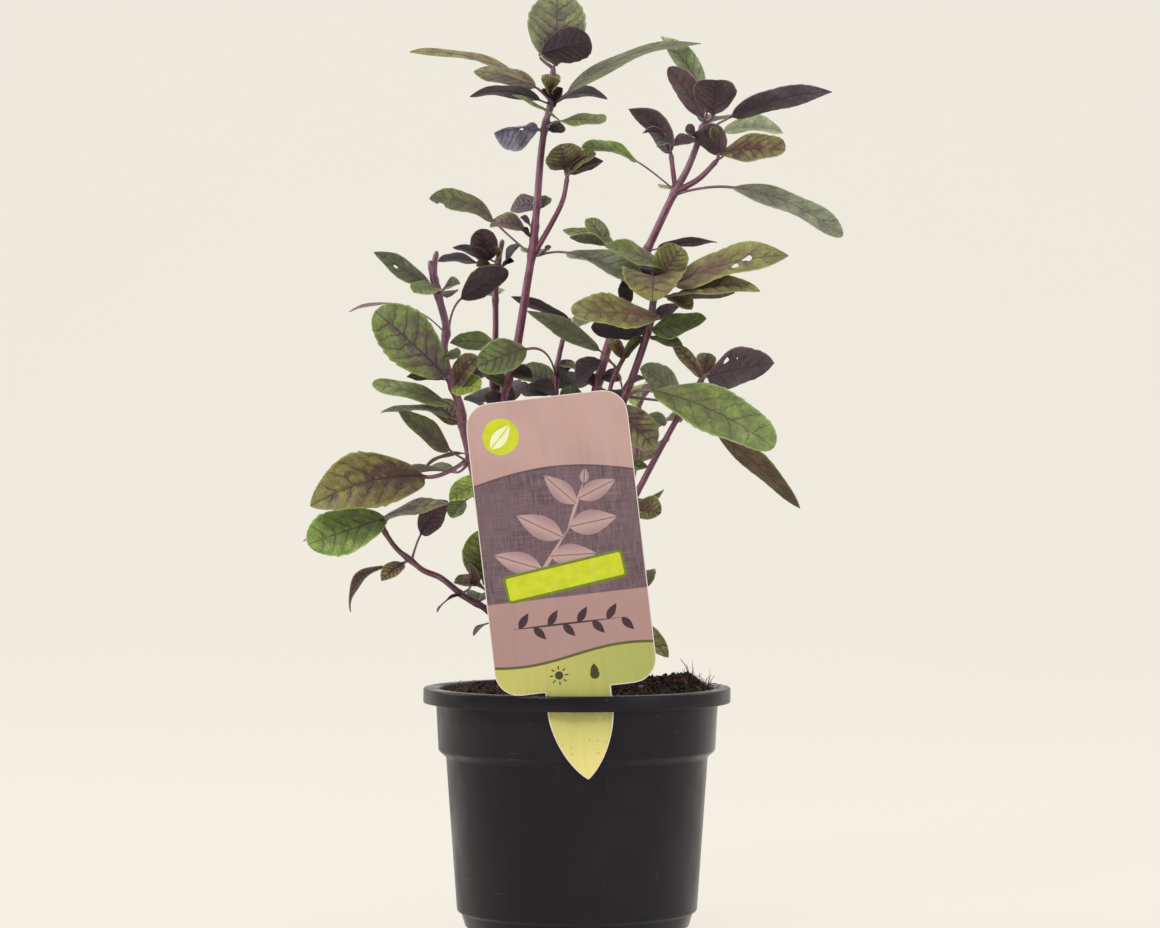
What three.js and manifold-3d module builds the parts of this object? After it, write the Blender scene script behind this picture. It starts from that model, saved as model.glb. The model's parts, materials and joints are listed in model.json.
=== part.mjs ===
// A potted basil with purple-flushed leaves: nursery pot, soil, plant label and leafy stems.
// Millimetres, +Z up. The origin is the centre of the pot's flat base.
import * as THREE from "three";
import { mergeVertices } from "three/addons/utils/BufferGeometryUtils.js";
import Module from "manifold-3d";

const wasm = await Module();
wasm.setup();

const GAP = 0.3; // clearance between neighbouring pieces
const SLIVER = 0.01;

// Pot
const POT_HEIGHT = 101;
const RIM_RADIUS = 65;
const LIP_HEIGHT = 6.3;
const LIP_WALL = 1.2;
const FLANGE_WALL = 1.4;
const COLLAR_RADIUS = 59.9;
const COLLAR_FOOT_RADIUS = 58.6;
const COLLAR_FOOT_Z = 74.5;
const BODY_TOP_RADIUS = 55.4;
const BODY_TOP_Z = 71.8;
const BODY_FOOT_RADIUS = 50.8;
const BODY_FOOT_Z = 6.8;
const FOOT_TOP_RADIUS = 49;
const FOOT_RADIUS = 47.3;
const POT_WALL = 1.4;
const FLOOR_WALL = 1.8;
const POT_SEGMENTS = 36;
const DRAIN_COUNT = 6;
const DRAIN_SIDES = 8;
const DRAIN_RADIUS = 4;
const DRAIN_CIRCLE = 36;

// Soil
const SOIL_EDGE_Z = 97.5;
const SOIL_HEAP = 7;
const SOIL_RINGS = 5;
const SOIL_SEGMENTS = 28;
const HOLE_DEPTH = 17;
const HOLE_SEGMENTS = 8;

// Label: a card hooked by its tongue through the rim, its top leaning to the left
const LABEL_WIDTH = 66;
const LABEL_HEIGHT = 119.6;
const LABEL_THICKNESS = 0.8;
const LABEL_CORNER = 10;
const LABEL_LEAN = THREE.MathUtils.degToRad(6.6);
const LABEL_BASE = new THREE.Vector3(0.5, -60.6, 103.9);
const TONGUE_HALF_WIDTH = 13.4;
const TONGUE_SHOULDER = 10;
const TONGUE_LENGTH = 37;
const SLOT_CENTRE_X = 1.9;
const SLOT_WIDTH = 30.4;
const SLOT_DEPTH = 1.5;

// Leafy stems
const BLADE_THICKNESS = 0.7;
const STEM_SIDES = 4; // a basil stem is square
const STALK_HALF_WIDTH = 0.8;
const STALK_THICKNESS = 1.3;
const SHORTEST_STALK = 1.2;
const LONG_STALK = 9;
const TIP_HALF_WIDTH = 0.3;
const NARROW_LEAF = 11;
const BLADE_STEPS = [ // a longer blade has more teeth
  { upTo: 15, steps: 3 },
  { upTo: 27, steps: 4 },
  { upTo: 38, steps: 5 },
  { upTo: Infinity, steps: 6 },
];
const TIPWARD = 1.3; // how much closer the steps are near the tip
const ROOT_POWER = 0.72; // how fast a blade widens from its root
const TOOTH_DEPTH = 0.04;
const WAVE_DEPTH = 0.05;

const POT_FINISH = { name: "pot_plastic", color: 0x2c2a2e, roughness: 0.45, metalness: 0 };
const SOIL_FINISH = { name: "peat", color: 0x2b1d16, roughness: 1, metalness: 0 };
const LABEL_FINISH = { name: "label_card", color: 0xd9bdb4, roughness: 0.4, metalness: 0 };
const LEAF_FINISH = { name: "leaf", color: 0x5c6f38, roughness: 0.6, metalness: 0 };

// Solids

function toSolid(geometry) {
  const bare = geometry.clone();
  bare.deleteAttribute("normal");
  bare.deleteAttribute("uv");
  const merged = mergeVertices(bare, 1e-4);
  const mesh = new wasm.Mesh({
    numProp: 3,
    vertProperties: new Float32Array(merged.attributes.position.array),
    triVerts: new Uint32Array(merged.index.array),
  });
  return new wasm.Manifold(mesh);
}

function toGeometry(solid) {
  const mesh = solid.getMesh();
  const geometry = new THREE.BufferGeometry();
  geometry.setAttribute("position", new THREE.BufferAttribute(mesh.vertProperties, 3));
  geometry.setIndex(new THREE.BufferAttribute(mesh.triVerts, 1));
  return geometry;
}

// Joins solids and drops the slivers that the joins leave.
function joinAll(solids) {
  return solids.reduce((whole, solid) => whole.add(solid)).simplify(SLIVER);
}

function namedMesh(name, solid, finish) {
  const mesh = new THREE.Mesh(toGeometry(solid), new THREE.MeshStandardMaterial(finish));
  mesh.name = name;
  return mesh;
}

// Skins a list of rings of equal length and closes both ends. Strips listed in mirrored are split
// along their other diagonal.
function skin(rings, mirrored = []) {
  const count = rings[0].length;
  const positions = rings.flat().flatMap((point) => point.toArray());
  const triangles = [];
  for (let row = 0; row < rings.length - 1; row += 1) {
    for (let i = 0; i < count; i += 1) {
      const next = (i + 1) % count;
      const a = row * count + i;
      const b = row * count + next;
      const c = b + count;
      const d = a + count;
      if (mirrored.includes(i)) triangles.push(a, b, d, b, c, d);
      else triangles.push(a, b, c, a, c, d);
    }
  }
  const last = (rings.length - 1) * count;
  for (let i = 1; i < count - 1; i += 1) {
    triangles.push(0, i + 1, i, last, last + i, last + i + 1);
  }
  const geometry = new THREE.BufferGeometry();
  geometry.setAttribute("position", new THREE.Float32BufferAttribute(positions, 3));
  geometry.setIndex(triangles);
  return geometry;
}

// Leafy stems

function shoot(footRadius, tipRadius, points) {
  const curve = new THREE.CatmullRomCurve3(points.map((p) => new THREE.Vector3(...p)), false, "centripetal");
  return { footRadius, tipRadius, curve, steps: points.length - 1 };
}

function leaf(root, tip, width, tilt, { arch = 0.08, fold = 18, stalk = null, blunt = 0.5 } = {}) {
  return { root: new THREE.Vector3(...root), tip: new THREE.Vector3(...tip), width, tilt, arch, fold, stalk, blunt };
}

// A tapered round bar along a curve. Its section keeps one side turned the same way all along.
function taperedBar(curve, steps, sides, footRadius, tipRadius) {
  const rings = [];
  const sideways = new THREE.Vector3();
  const across = new THREE.Vector3();
  const reference = new THREE.Vector3(0.31, 0.95, 0.02);
  for (let k = 0; k <= steps; k += 1) {
    const t = k / steps;
    const centre = curve.getPoint(t);
    const along = curve.getTangent(t);
    sideways.crossVectors(reference, along).normalize();
    across.crossVectors(along, sideways);
    const radius = THREE.MathUtils.lerp(footRadius, tipRadius, t);
    const ring = [];
    for (let i = 0; i < sides; i += 1) {
      const angle = (2 * Math.PI * i) / sides;
      const point = centre.clone();
      point.addScaledVector(sideways, radius * Math.cos(angle));
      point.addScaledVector(across, radius * Math.sin(angle));
      ring.push(point);
    }
    rings.push(ring);
  }
  return skin(rings);
}

// Half width of a blade at s from its root to its tip, as a part of its greatest half width.
// blunt is 0 for a pointed tip and 1 for a round one.
function bladeProfile(s, blunt) {
  const tipPower = 1 - 0.5 * blunt;
  const widest = ROOT_POWER / (ROOT_POWER + tipPower);
  return Math.pow(s / widest, ROOT_POWER) * Math.pow((1 - s) / (1 - widest), tipPower);
}

function bladeFrame({ root, tip, tilt }) {
  const along = tip.clone().sub(root);
  const length = along.length();
  along.normalize();
  const angle = THREE.MathUtils.degToRad(tilt);
  const face = new THREE.Vector3(0, -Math.sin(angle), Math.cos(angle));
  face.addScaledVector(along, -face.dot(along)).normalize();
  return { along, face, length };
}

function nearestOnShoots(shoots, point) {
  let nearest = null;
  let shortest = Infinity;
  for (const { curve } of shoots) {
    for (const candidate of curve.getPoints(60)) {
      const distance = candidate.distanceTo(point);
      if (distance < shortest) {
        shortest = distance;
        nearest = candidate;
      }
    }
  }
  return nearest;
}

function isNarrow(row) {
  return row.width <= NARROW_LEAF;
}

// The points round a thin section: its upper side from left to right, then its lower side back.
// A narrow leaf is flat, and a wider one has a third line of points along its midrib.
function sectionRing(narrow, middle, side, normal, half, thickness, fold = 0, wave = [0, 0]) {
  const lift = thickness / (2 * Math.cos(fold));
  const edge = (sign, ripple) => middle.clone()
    .addScaledVector(side, sign * half * Math.cos(fold))
    .addScaledVector(normal, half * Math.sin(fold) + ripple);
  const line = narrow ? [edge(-1, 0), edge(1, 0)] : [edge(-1, wave[0]), middle, edge(1, wave[1])];
  const upper = line.map((point) => point.clone().addScaledVector(normal, lift));
  const lower = line.map((point) => point.clone().addScaledVector(normal, -lift));
  return [...upper, ...lower.reverse()];
}

// The rings of the stalk, from inside the stem to the root of the blade.
function stalkRings(shoots, row, { along, face }) {
  const start = row.stalk ? new THREE.Vector3(...row.stalk) : nearestOnShoots(shoots, row.root);
  const reach = row.root.distanceTo(start);
  if (reach < SHORTEST_STALK) return [];
  const rootward = along.clone().addScaledVector(face, 4 * row.arch).normalize();
  const bend = row.root.clone().addScaledVector(rootward, -0.4 * reach);
  const curve = new THREE.QuadraticBezierCurve3(start, bend, row.root);
  const across = new THREE.Vector3().crossVectors(along, face);
  const steps = reach > LONG_STALK ? 2 : 1;
  const rings = [];
  for (let k = 0; k < steps; k += 1) {
    const tangent = curve.getTangent(k / steps);
    const normal = new THREE.Vector3().crossVectors(across, tangent).normalize();
    const side = new THREE.Vector3().crossVectors(tangent, normal);
    const middle = curve.getPoint(k / steps);
    rings.push(sectionRing(isNarrow(row), middle, side, normal, STALK_HALF_WIDTH, STALK_THICKNESS));
  }
  return rings;
}

// One thin arched blade, folded along its midrib, with a toothed and waved edge.
function bladeRings(row, { along, face, length }) {
  const { root, width, arch } = row;
  const steps = BLADE_STEPS.find(({ upTo }) => length <= upTo).steps;
  const phase = root.x + root.z;
  const rings = [];
  for (let k = 0; k <= steps; k += 1) {
    const s = 1 - Math.pow(1 - k / steps, TIPWARD);
    const slope = arch * 4 * (1 - 2 * s);
    const middle = root.clone().addScaledVector(along, s * length);
    middle.addScaledVector(face, arch * length * 4 * s * (1 - s));
    const tangent = along.clone().addScaledVector(face, slope).normalize();
    const normal = face.clone().addScaledVector(along, -slope).normalize();
    const side = new THREE.Vector3().crossVectors(tangent, normal);
    const tooth = 1 + (k % 2 === 0 ? -TOOTH_DEPTH : TOOTH_DEPTH);
    const leastHalf = k === 0 ? STALK_HALF_WIDTH : TIP_HALF_WIDTH;
    const half = Math.max(0.5 * width * bladeProfile(s, row.blunt) * tooth, leastHalf);
    const ripple = (sign) => WAVE_DEPTH * 2 * half * Math.sin(9 * s + phase + sign);
    const fold = isNarrow(row) ? 0 : THREE.MathUtils.degToRad(row.fold) * Math.min(1, 3 * s);
    const thickness = k === 0 ? STALK_THICKNESS : BLADE_THICKNESS;
    const wave = [ripple(-1), ripple(1)];
    rings.push(sectionRing(isNarrow(row), middle, side, normal, half, thickness, fold, wave));
  }
  return rings;
}

function leafSolid(shoots, row) {
  const frame = bladeFrame(row);
  const underside = isNarrow(row) ? [2] : [3, 4];
  return toSolid(skin([...stalkRings(shoots, row, frame), ...bladeRings(row, frame)], underside));
}

const plant = new THREE.Group();
const stemHoles = [];

function stem(name, shoots, leaves) {
  const { x, y, z } = shoots[0].curve.points[0];
  stemHoles.push({ x, y, z, radius: shoots[0].footRadius });
  const solids = shoots.map(({ curve, steps, footRadius, tipRadius }) =>
    toSolid(taperedBar(curve, steps, STEM_SIDES, footRadius, tipRadius)));
  for (const row of leaves) {
    solids.push(leafSolid(shoots, row));
  }
  plant.add(namedMesh(name, joinAll(solids), LEAF_FINISH));
}

// Pot, soil and label

// A turned solid about the Z axis, from its outline as radius and height.
function turned(outline, segments) {
  const points = outline.map(([radius, z]) => new THREE.Vector2(radius, z));
  return new THREE.LatheGeometry(points, segments).rotateX(Math.PI / 2);
}

function uprightCylinder(x, y, foot, top, radius, segments) {
  const geometry = new THREE.CylinderGeometry(radius, radius, top - foot, segments);
  return toSolid(geometry.rotateX(Math.PI / 2).translate(x, y, (foot + top) / 2));
}

function insideOfPot(clearance) {
  return [
    [FOOT_TOP_RADIUS - POT_WALL - clearance, FLOOR_WALL + clearance],
    [BODY_FOOT_RADIUS - POT_WALL - clearance, BODY_FOOT_Z + clearance],
    [BODY_TOP_RADIUS - POT_WALL - clearance, BODY_TOP_Z + POT_WALL / 2],
    [COLLAR_FOOT_RADIUS - POT_WALL - clearance, COLLAR_FOOT_Z + POT_WALL / 2],
  ];
}

function pot() {
  const flangeFoot = POT_HEIGHT - FLANGE_WALL;
  const outline = [
    [0, 0],
    [FOOT_RADIUS, 0],
    [FOOT_TOP_RADIUS, BODY_FOOT_Z - 0.8],
    [BODY_FOOT_RADIUS, BODY_FOOT_Z],
    [BODY_TOP_RADIUS, BODY_TOP_Z],
    [COLLAR_FOOT_RADIUS, COLLAR_FOOT_Z],
    [COLLAR_RADIUS, flangeFoot],
    [RIM_RADIUS - LIP_WALL, flangeFoot],
    [RIM_RADIUS - LIP_WALL, POT_HEIGHT - LIP_HEIGHT],
    [RIM_RADIUS, POT_HEIGHT - LIP_HEIGHT],
    [RIM_RADIUS, POT_HEIGHT - 0.9],
    [RIM_RADIUS - 0.9, POT_HEIGHT],
    [COLLAR_RADIUS - POT_WALL, POT_HEIGHT],
    ...insideOfPot(0).reverse(),
    [0, FLOOR_WALL],
  ];
  let body = toSolid(turned(outline, POT_SEGMENTS));
  for (let i = 0; i < DRAIN_COUNT; i += 1) {
    const angle = (2 * Math.PI * (i + 0.5)) / DRAIN_COUNT;
    const x = DRAIN_CIRCLE * Math.cos(angle);
    const y = DRAIN_CIRCLE * Math.sin(angle);
    body = body.subtract(uprightCylinder(x, y, -1, FLOOR_WALL + 1, DRAIN_RADIUS, DRAIN_SIDES));
  }
  const slot = new THREE.BoxGeometry(SLOT_WIDTH, SLOT_DEPTH, 2 * FLANGE_WALL);
  slot.translate(SLOT_CENTRE_X, LABEL_BASE.y, POT_HEIGHT - FLANGE_WALL / 2);
  return body.subtract(toSolid(slot)).simplify(SLIVER);
}

// Height of the soil's surface: heaped towards the middle and the right, with a lumpy top.
function soilHeight(x, y, edgeRadius) {
  const q = Math.min(1, Math.hypot(x, y) / edgeRadius);
  const lumps = Math.sin(0.19 * x + 0.8) * Math.cos(0.16 * y - 0.4) + 0.6 * Math.sin(0.31 * x - 0.27 * y);
  const clump = 6 * Math.exp(-((x - 44) ** 2 + (y - 8) ** 2) / 180);
  return SOIL_EDGE_Z + SOIL_HEAP * (1 - q * q) + 1.2 * lumps * (1 - q ** 4) + clump * (1 - q ** 6);
}

function soil(stemHoles) {
  const edgeRadius = COLLAR_RADIUS - POT_WALL - GAP - 0.2;
  const outline = [[0, FLOOR_WALL + GAP], ...insideOfPot(GAP), [edgeRadius, SOIL_EDGE_Z]];
  for (let i = SOIL_RINGS - 1; i >= 0; i -= 1) {
    outline.push([(edgeRadius * i) / SOIL_RINGS, SOIL_EDGE_Z + 1]);
  }
  const geometry = turned(outline, SOIL_SEGMENTS);
  const position = geometry.attributes.position;
  for (let i = 0; i < position.count; i += 1) {
    if (position.getZ(i) > SOIL_EDGE_Z + 0.5) {
      position.setZ(i, soilHeight(position.getX(i), position.getY(i), edgeRadius));
    }
  }
  let body = toSolid(geometry);
  for (const { x, y, z, radius } of stemHoles) {
    body = body.subtract(uprightCylinder(x, y, z - GAP, z + 40, radius + GAP, HOLE_SEGMENTS));
  }
  return body.simplify(SLIVER);
}

function labelOutline() {
  const side = LABEL_WIDTH / 2;
  const top = LABEL_HEIGHT;
  const c = LABEL_CORNER;
  const outline = new THREE.Shape();
  outline.moveTo(TONGUE_HALF_WIDTH, 0);
  outline.lineTo(side - c, 0);
  outline.absarc(side - c, c, c, -Math.PI / 2, 0);
  outline.absarc(side - c, top - c, c, 0, Math.PI / 2);
  outline.absarc(c - side, top - c, c, Math.PI / 2, Math.PI);
  outline.absarc(c - side, c, c, Math.PI, 1.5 * Math.PI);
  outline.lineTo(-TONGUE_HALF_WIDTH, 0);
  outline.lineTo(-TONGUE_HALF_WIDTH, -TONGUE_SHOULDER);
  outline.bezierCurveTo(-12, -24, -6, -TONGUE_LENGTH, 0, -TONGUE_LENGTH);
  outline.bezierCurveTo(6, -TONGUE_LENGTH, 12, -24, TONGUE_HALF_WIDTH, -TONGUE_SHOULDER);
  outline.closePath();
  return outline;
}

function label() {
  const card = new THREE.ExtrudeGeometry(labelOutline(), {
    depth: LABEL_THICKNESS,
    bevelEnabled: false,
    curveSegments: 4,
  });
  card.translate(0, 0, -LABEL_THICKNESS / 2).rotateX(Math.PI / 2).rotateY(-LABEL_LEAN);
  return toSolid(card.translate(...LABEL_BASE.toArray()));
}

// The plant. Each row of a leaf gives its root, its tip, its width and the tilt of its upper face:
// 0 looks up, 90 looks to the front, below 0 shows the underside to the front.

stem("leafy_stem_tall_left", [
  shoot(2.5, 1.3, [
    [-14, 6, 84], [-14, 6, 108], [-19, 7, 140], [-27, 8, 180], [-32, 8, 212], [-31, 8, 226],
    [-27, 7, 238], [-24, 6, 254], [-21, 5, 273], [-19, 4, 285], [-17, 3, 305], [-15, 2, 329],
    [-13, 1, 341], [-11, 1, 348], [-10, 0, 364],
  ]),
  shoot(1.3, 1.0, [[-18, 4, 285], [-11, 2, 297], [-6, -1, 307], [-4, -2, 317]]),
], [
  leaf([-9, 0, 364], [-8, -5, 394], 25, 80, { arch: 0.06, fold: 8, blunt: 1 }),
  leaf([-15, -4, 369], [6, -10, 373], 16, -68, { fold: 8, stalk: [-10, 0, 363], blunt: 1 }),
  leaf([-11, -1, 352], [-15, -7, 358], 9, 55, { fold: 25, blunt: 0.9 }),
  leaf([-10.3, -1, 352.5], [-7, -6, 357], 8, 52, { fold: 25, blunt: 0.9 }),
  leaf([-11, 2, 354], [-11, 6, 361], 9, 62, { fold: 20, blunt: 0.9 }),
  leaf([-19, -1, 356], [-70, -16, 368], 16, 22, { arch: 0.08, fold: 4, stalk: [-11, 1, 349] }),
  leaf([-17, 3, 355], [-44, 12, 363], 14, 38, { arch: 0.05, fold: 5, stalk: [-11, 1, 349] }),
  leaf([-15, -2, 349], [-45, -10, 350], 13, -18, { arch: 0.11, fold: 3, stalk: [-11, 1, 348] }),
  leaf([-5, 2, 352], [53, 13, 375], 17, 20, { arch: 0.095, fold: 3, stalk: [-11, 1, 349], blunt: 0.2 }),
  leaf([-8, 2, 349], [13, 10, 351], 10, -22, { arch: 0.17, fold: 4 }),
  leaf([-11, -1, 347], [-15, -9, 352], 8, 50, { blunt: 0.8 }),
  leaf([-10.4, -1, 346.5], [-6, -5, 354], 8, 45, { blunt: 0.8 }),
  leaf([-8, -6, 341], [-27, -16, 350], 9, 26, { arch: 0.04, fold: 2, stalk: [-13, 1, 340] }),
  leaf([-7, -7, 340], [12, -17, 339], 13, 30, { arch: 0.03, fold: 2, stalk: [-13.4, 0.6, 338], blunt: 1 }),
  leaf([-16, 0, 337], [-35, -6, 335], 19, -45, { fold: -42, blunt: 1 }),
  leaf([-5, -2, 320], [-7, -9, 330], 17, 62, { fold: 12, blunt: 1 }),
  leaf([-4, -1, 319], [8, -8, 326], 10, 48, { fold: 14, blunt: 0.8 }),
  leaf([-3.2, -2.6, 318], [11, -8, 323], 9, -40, { blunt: 0.4 }),
  leaf([-4, 2, 319], [3, 10, 326], 9, 30, { blunt: 0.6 }),
  leaf([-35, -1, 298], [-62, -10, 307], 15, 40, { arch: 0.13, fold: 6, stalk: [-19, 4, 284], blunt: 0.7 }),
  leaf([-15, 6, 305], [-28, 14, 305], 10, 62, { blunt: 0.8 }),
  leaf([-22, 5, 295], [-37, 8, 297], 12, 38, { arch: 0.12, stalk: [-19, 4, 287], blunt: 0.8 }),
  leaf([-5, -1, 285], [29, -17, 269], 18, 28, { arch: 0.06, stalk: [-17, 4, 284], blunt: 0.7 }),
  leaf([-18, 14, 285], [-18, 46, 288], 13, 2, { arch: 0.04, fold: 5, stalk: [-18, 5, 284] }),
  leaf([-25, 20, 206], [-36, 48, 209], 18, 6, { arch: 0.16, stalk: [-31, 8, 203] }),
]);

stem("leafy_stem_tall_right", [
  shoot(2.6, 1.3, [
    [-7, 3, 84], [-7, 3, 108], [-3, 6, 150], [3, 10, 190], [8, 12, 226], [14, 13, 248],
    [21, 13, 268], [31, 12, 289], [42, 12, 312], [47, 12, 321], [51, 12, 331], [54, 12, 341],
  ]),
  shoot(1.2, 1.0, [[42, 12, 313], [41, 10, 320], [40, 9, 328]]),
  shoot(1.4, 1.1, [[43, 12, 312], [52, 10, 317], [60, 8, 325]]),
], [
  leaf([26, 8, 324], [2, 0, 329], 14, 32, { arch: 0.08, stalk: [42, 12, 312], blunt: 0.8 }),
  leaf([40, 9, 327], [22, 3, 346], 13, -30, { arch: 0.19, fold: 14, blunt: 0.2 }),
  leaf([61, 8, 328], [88, -3, 328], 19, 44, { arch: 0.05, fold: 6, stalk: [60, 8, 325], blunt: 1 }),
  leaf([62, 10, 337], [88, 21, 338], 14, 40, { stalk: [54, 12, 339], blunt: 1 }),
  leaf([62, 8, 327], [52, 1, 337], 15, -50, { fold: 32, blunt: 0.8 }),
  leaf([65, 4, 313], [112, -10, 291], 21, 26, { arch: 0.08, fold: 4, stalk: [43, 12, 311], blunt: 0.9 }),
  leaf([54, 10, 343], [39, 4, 364], 13, -36, { arch: 0.03, fold: 18, blunt: 0.7 }),
  leaf([54, 15, 355], [36, 21, 379], 12, 55, { fold: 30, stalk: [54, 12, 339], blunt: 0.2 }),
  leaf([58, 9, 344], [59, 0, 358], 19, -60, { fold: 10, blunt: 1 }),
  leaf([65, 9, 343], [108, 0, 353], 15, -34, { arch: 0.075, fold: 4, stalk: [54, 12, 337], blunt: 0.2 }),
  leaf([51, 10, 335], [46, 5, 337], 8, 60, { blunt: 1 }),
  leaf([51, 12, 334], [41, 9, 331], 8, 40),
  leaf([55, 14, 341], [63, 34, 345], 15, 14, { fold: 8 }),
  leaf([34, 9, 287], [59, -6, 289], 10, -20, { arch: 0.05, fold: 3, stalk: [30, 12, 287], blunt: 0.3 }),
  leaf([42, 22, 313], [42, 50, 316], 14, 2, { arch: 0.05, fold: 5, stalk: [42, 12, 311] }),
  leaf([24, 24, 271], [32, 54, 274], 18, 4, { arch: 0.08, fold: 8, stalk: [21, 13, 268] }),
  leaf([14, 20, 208], [38, 44, 212], 20, 14, { arch: 0.16, stalk: [6, 12, 210] }),
]);

stem("leafy_stem_left", [
  shoot(2.2, 1.6, [
    [-22, 2, 84], [-22, 2, 108], [-30, -2, 140], [-40, -5, 175], [-45, -7, 199], [-48, -8, 211],
    [-49, -9, 219], [-54, -9, 233], [-56, -9, 244], [-55, -9, 252], [-58, -9, 265], [-62, -9, 281],
  ]),
  shoot(1.4, 1.3, [[-60, -9, 273], [-60, -9, 279], [-59, -9, 285]]),
], [
  leaf([-61, -10, 269], [-85, -18, 284], 13, 42, { arch: 0.02, fold: 4, blunt: 0.4 }),
  leaf([-57, -11, 269], [-68, -24, 267], 13, 34, { fold: 5, blunt: 0.9 }),
  leaf([-57, -10, 268], [-49, -16, 271], 9, 42),
  leaf([-58, -6, 266], [-56, 23, 267], 13, 0, { fold: 6 }),
  leaf([-64, -12, 258], [-95, -22, 259], 10, 9, { arch: 0.13, fold: 2, stalk: [-55, -9, 250] }),
  leaf([-55, -13, 232], [-84, -26, 259], 24, 66, { arch: 0.04, fold: 8, blunt: 1 }),
  leaf([-56, -9, 231], [-71, -18, 232], 12, -28, { fold: 8 }),
  leaf([-53, -6, 220], [-86, -12, 229], 15, 30, { arch: 0.03, fold: 4, stalk: [-48, -8, 216], blunt: 1 }),
  leaf([-53, -10, 215], [-82, -17, 217], 12, 18, { arch: 0.1, fold: 3, stalk: [-47, -8, 213], blunt: 0.3 }),
  leaf([-53, -13, 201], [-74, -28, 217], 14, 48, { arch: 0.01, fold: 6, stalk: [-45, -8, 196], blunt: 0.4 }),
  leaf([-50, -4, 212], [-61, 9, 221], 13, 50),
  leaf([-51, -14, 228], [-41, -26, 240], 12, 62, { fold: 22, blunt: 0.9 }),
  leaf([-52, -14, 227], [-40, -27, 227], 12, 58, { fold: 10, blunt: 1 }),
  leaf([-56, -13, 240], [-49, -22, 240], 8, 55, { blunt: 1 }),
  leaf([-49, -6, 265], [-29, -4, 277], 14, -52, { fold: 8, stalk: [-54, -9, 251], blunt: 0.8 }),
  leaf([-63, -18, 190], [-110, -38, 178], 29, 52, { arch: 0.12, fold: 8, stalk: [-45, -7, 198], blunt: 0.5 }),
  leaf([-39, -22, 147], [-40, -30, 168], 17, 62, { fold: 10, blunt: 0.8 }),
  leaf([-38, -14, 188], [-53, -24, 180], 12, 52, { blunt: 0.5 }),
  leaf([-47, -12, 180], [-53, -14, 173], 9, 50, { blunt: 0.8 }),
  leaf([-56, 3, 233], [-72, 30, 238], 16, 0, { stalk: [-55, -8, 234] }),
  leaf([-52, 2, 192], [-78, 30, 187], 20, 0, { stalk: [-46, -7, 196] }),
]);

stem("leafy_stem_slender", [
  shoot(1.7, 1.2, [
    [-20, 10, 84], [-20, 10, 108], [-27, 14, 145], [-33, 18, 190], [-36, 22, 229], [-35, 23, 252],
    [-35, 24, 270], [-34, 24, 282], [-32, 24, 292],
  ]),
], [
  leaf([-39, 21, 282], [-41, 15, 296], 13, 68, { fold: 22, blunt: 1 }),
  leaf([-37, 20, 283], [-53, 14, 288], 9, -24, { fold: 5 }),
  leaf([-43, 24, 282], [-60, 31, 283], 11, -24, { arch: 0.1, fold: 4, stalk: [-34, 24, 281] }),
  leaf([-34, 20, 282], [-32, 13, 286], 9, 62, { fold: 22, blunt: 0.9 }),
  leaf([-31, 21, 281], [-24, 14, 289], 8, 42),
  leaf([-34, 18, 246], [-54, 8, 247], 13, 48, { arch: 0.06, fold: 6, stalk: [-35, 22, 244], blunt: 0.2 }),
  leaf([-37, 24, 222], [-45, 34, 226], 10, 40),
  leaf([-36, 33, 268], [-42, 56, 271], 15, 4, { fold: 6, stalk: [-35, 24, 266] }),
  leaf([-31, 34, 235], [-29, 58, 237], 15, 2, { fold: 6, stalk: [-36, 22, 231] }),
]);

stem("leafy_stem_inner", [
  shoot(1.7, 1.0, [
    [-6, 13, 84], [-6, 13, 108], [-5, 16, 150], [-8, 19, 200], [-9, 20, 232], [-6, 20, 249], [-3, 20, 258],
  ]),
], [
  leaf([-3, 20, 257], [-28, 14, 267], 10, -22, { arch: 0.02, fold: 3 }),
  leaf([-21, -3, 244], [-42, -8, 236], 16, 70, { fold: 8, stalk: [-9, 20, 233], blunt: 0.8 }),
  leaf([-10, 21, 229], [-26, 30, 235], 15, 42),
  leaf([-8, 20, 228], [5, 30, 231], 13, 44),
  leaf([1, 28, 255], [8, 50, 258], 12, 2, { fold: 5, stalk: [-4, 20, 255] }),
  leaf([-4, 30, 196], [8, 56, 200], 20, 4, { arch: 0.14, stalk: [-8, 19, 192] }),
]);

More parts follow.
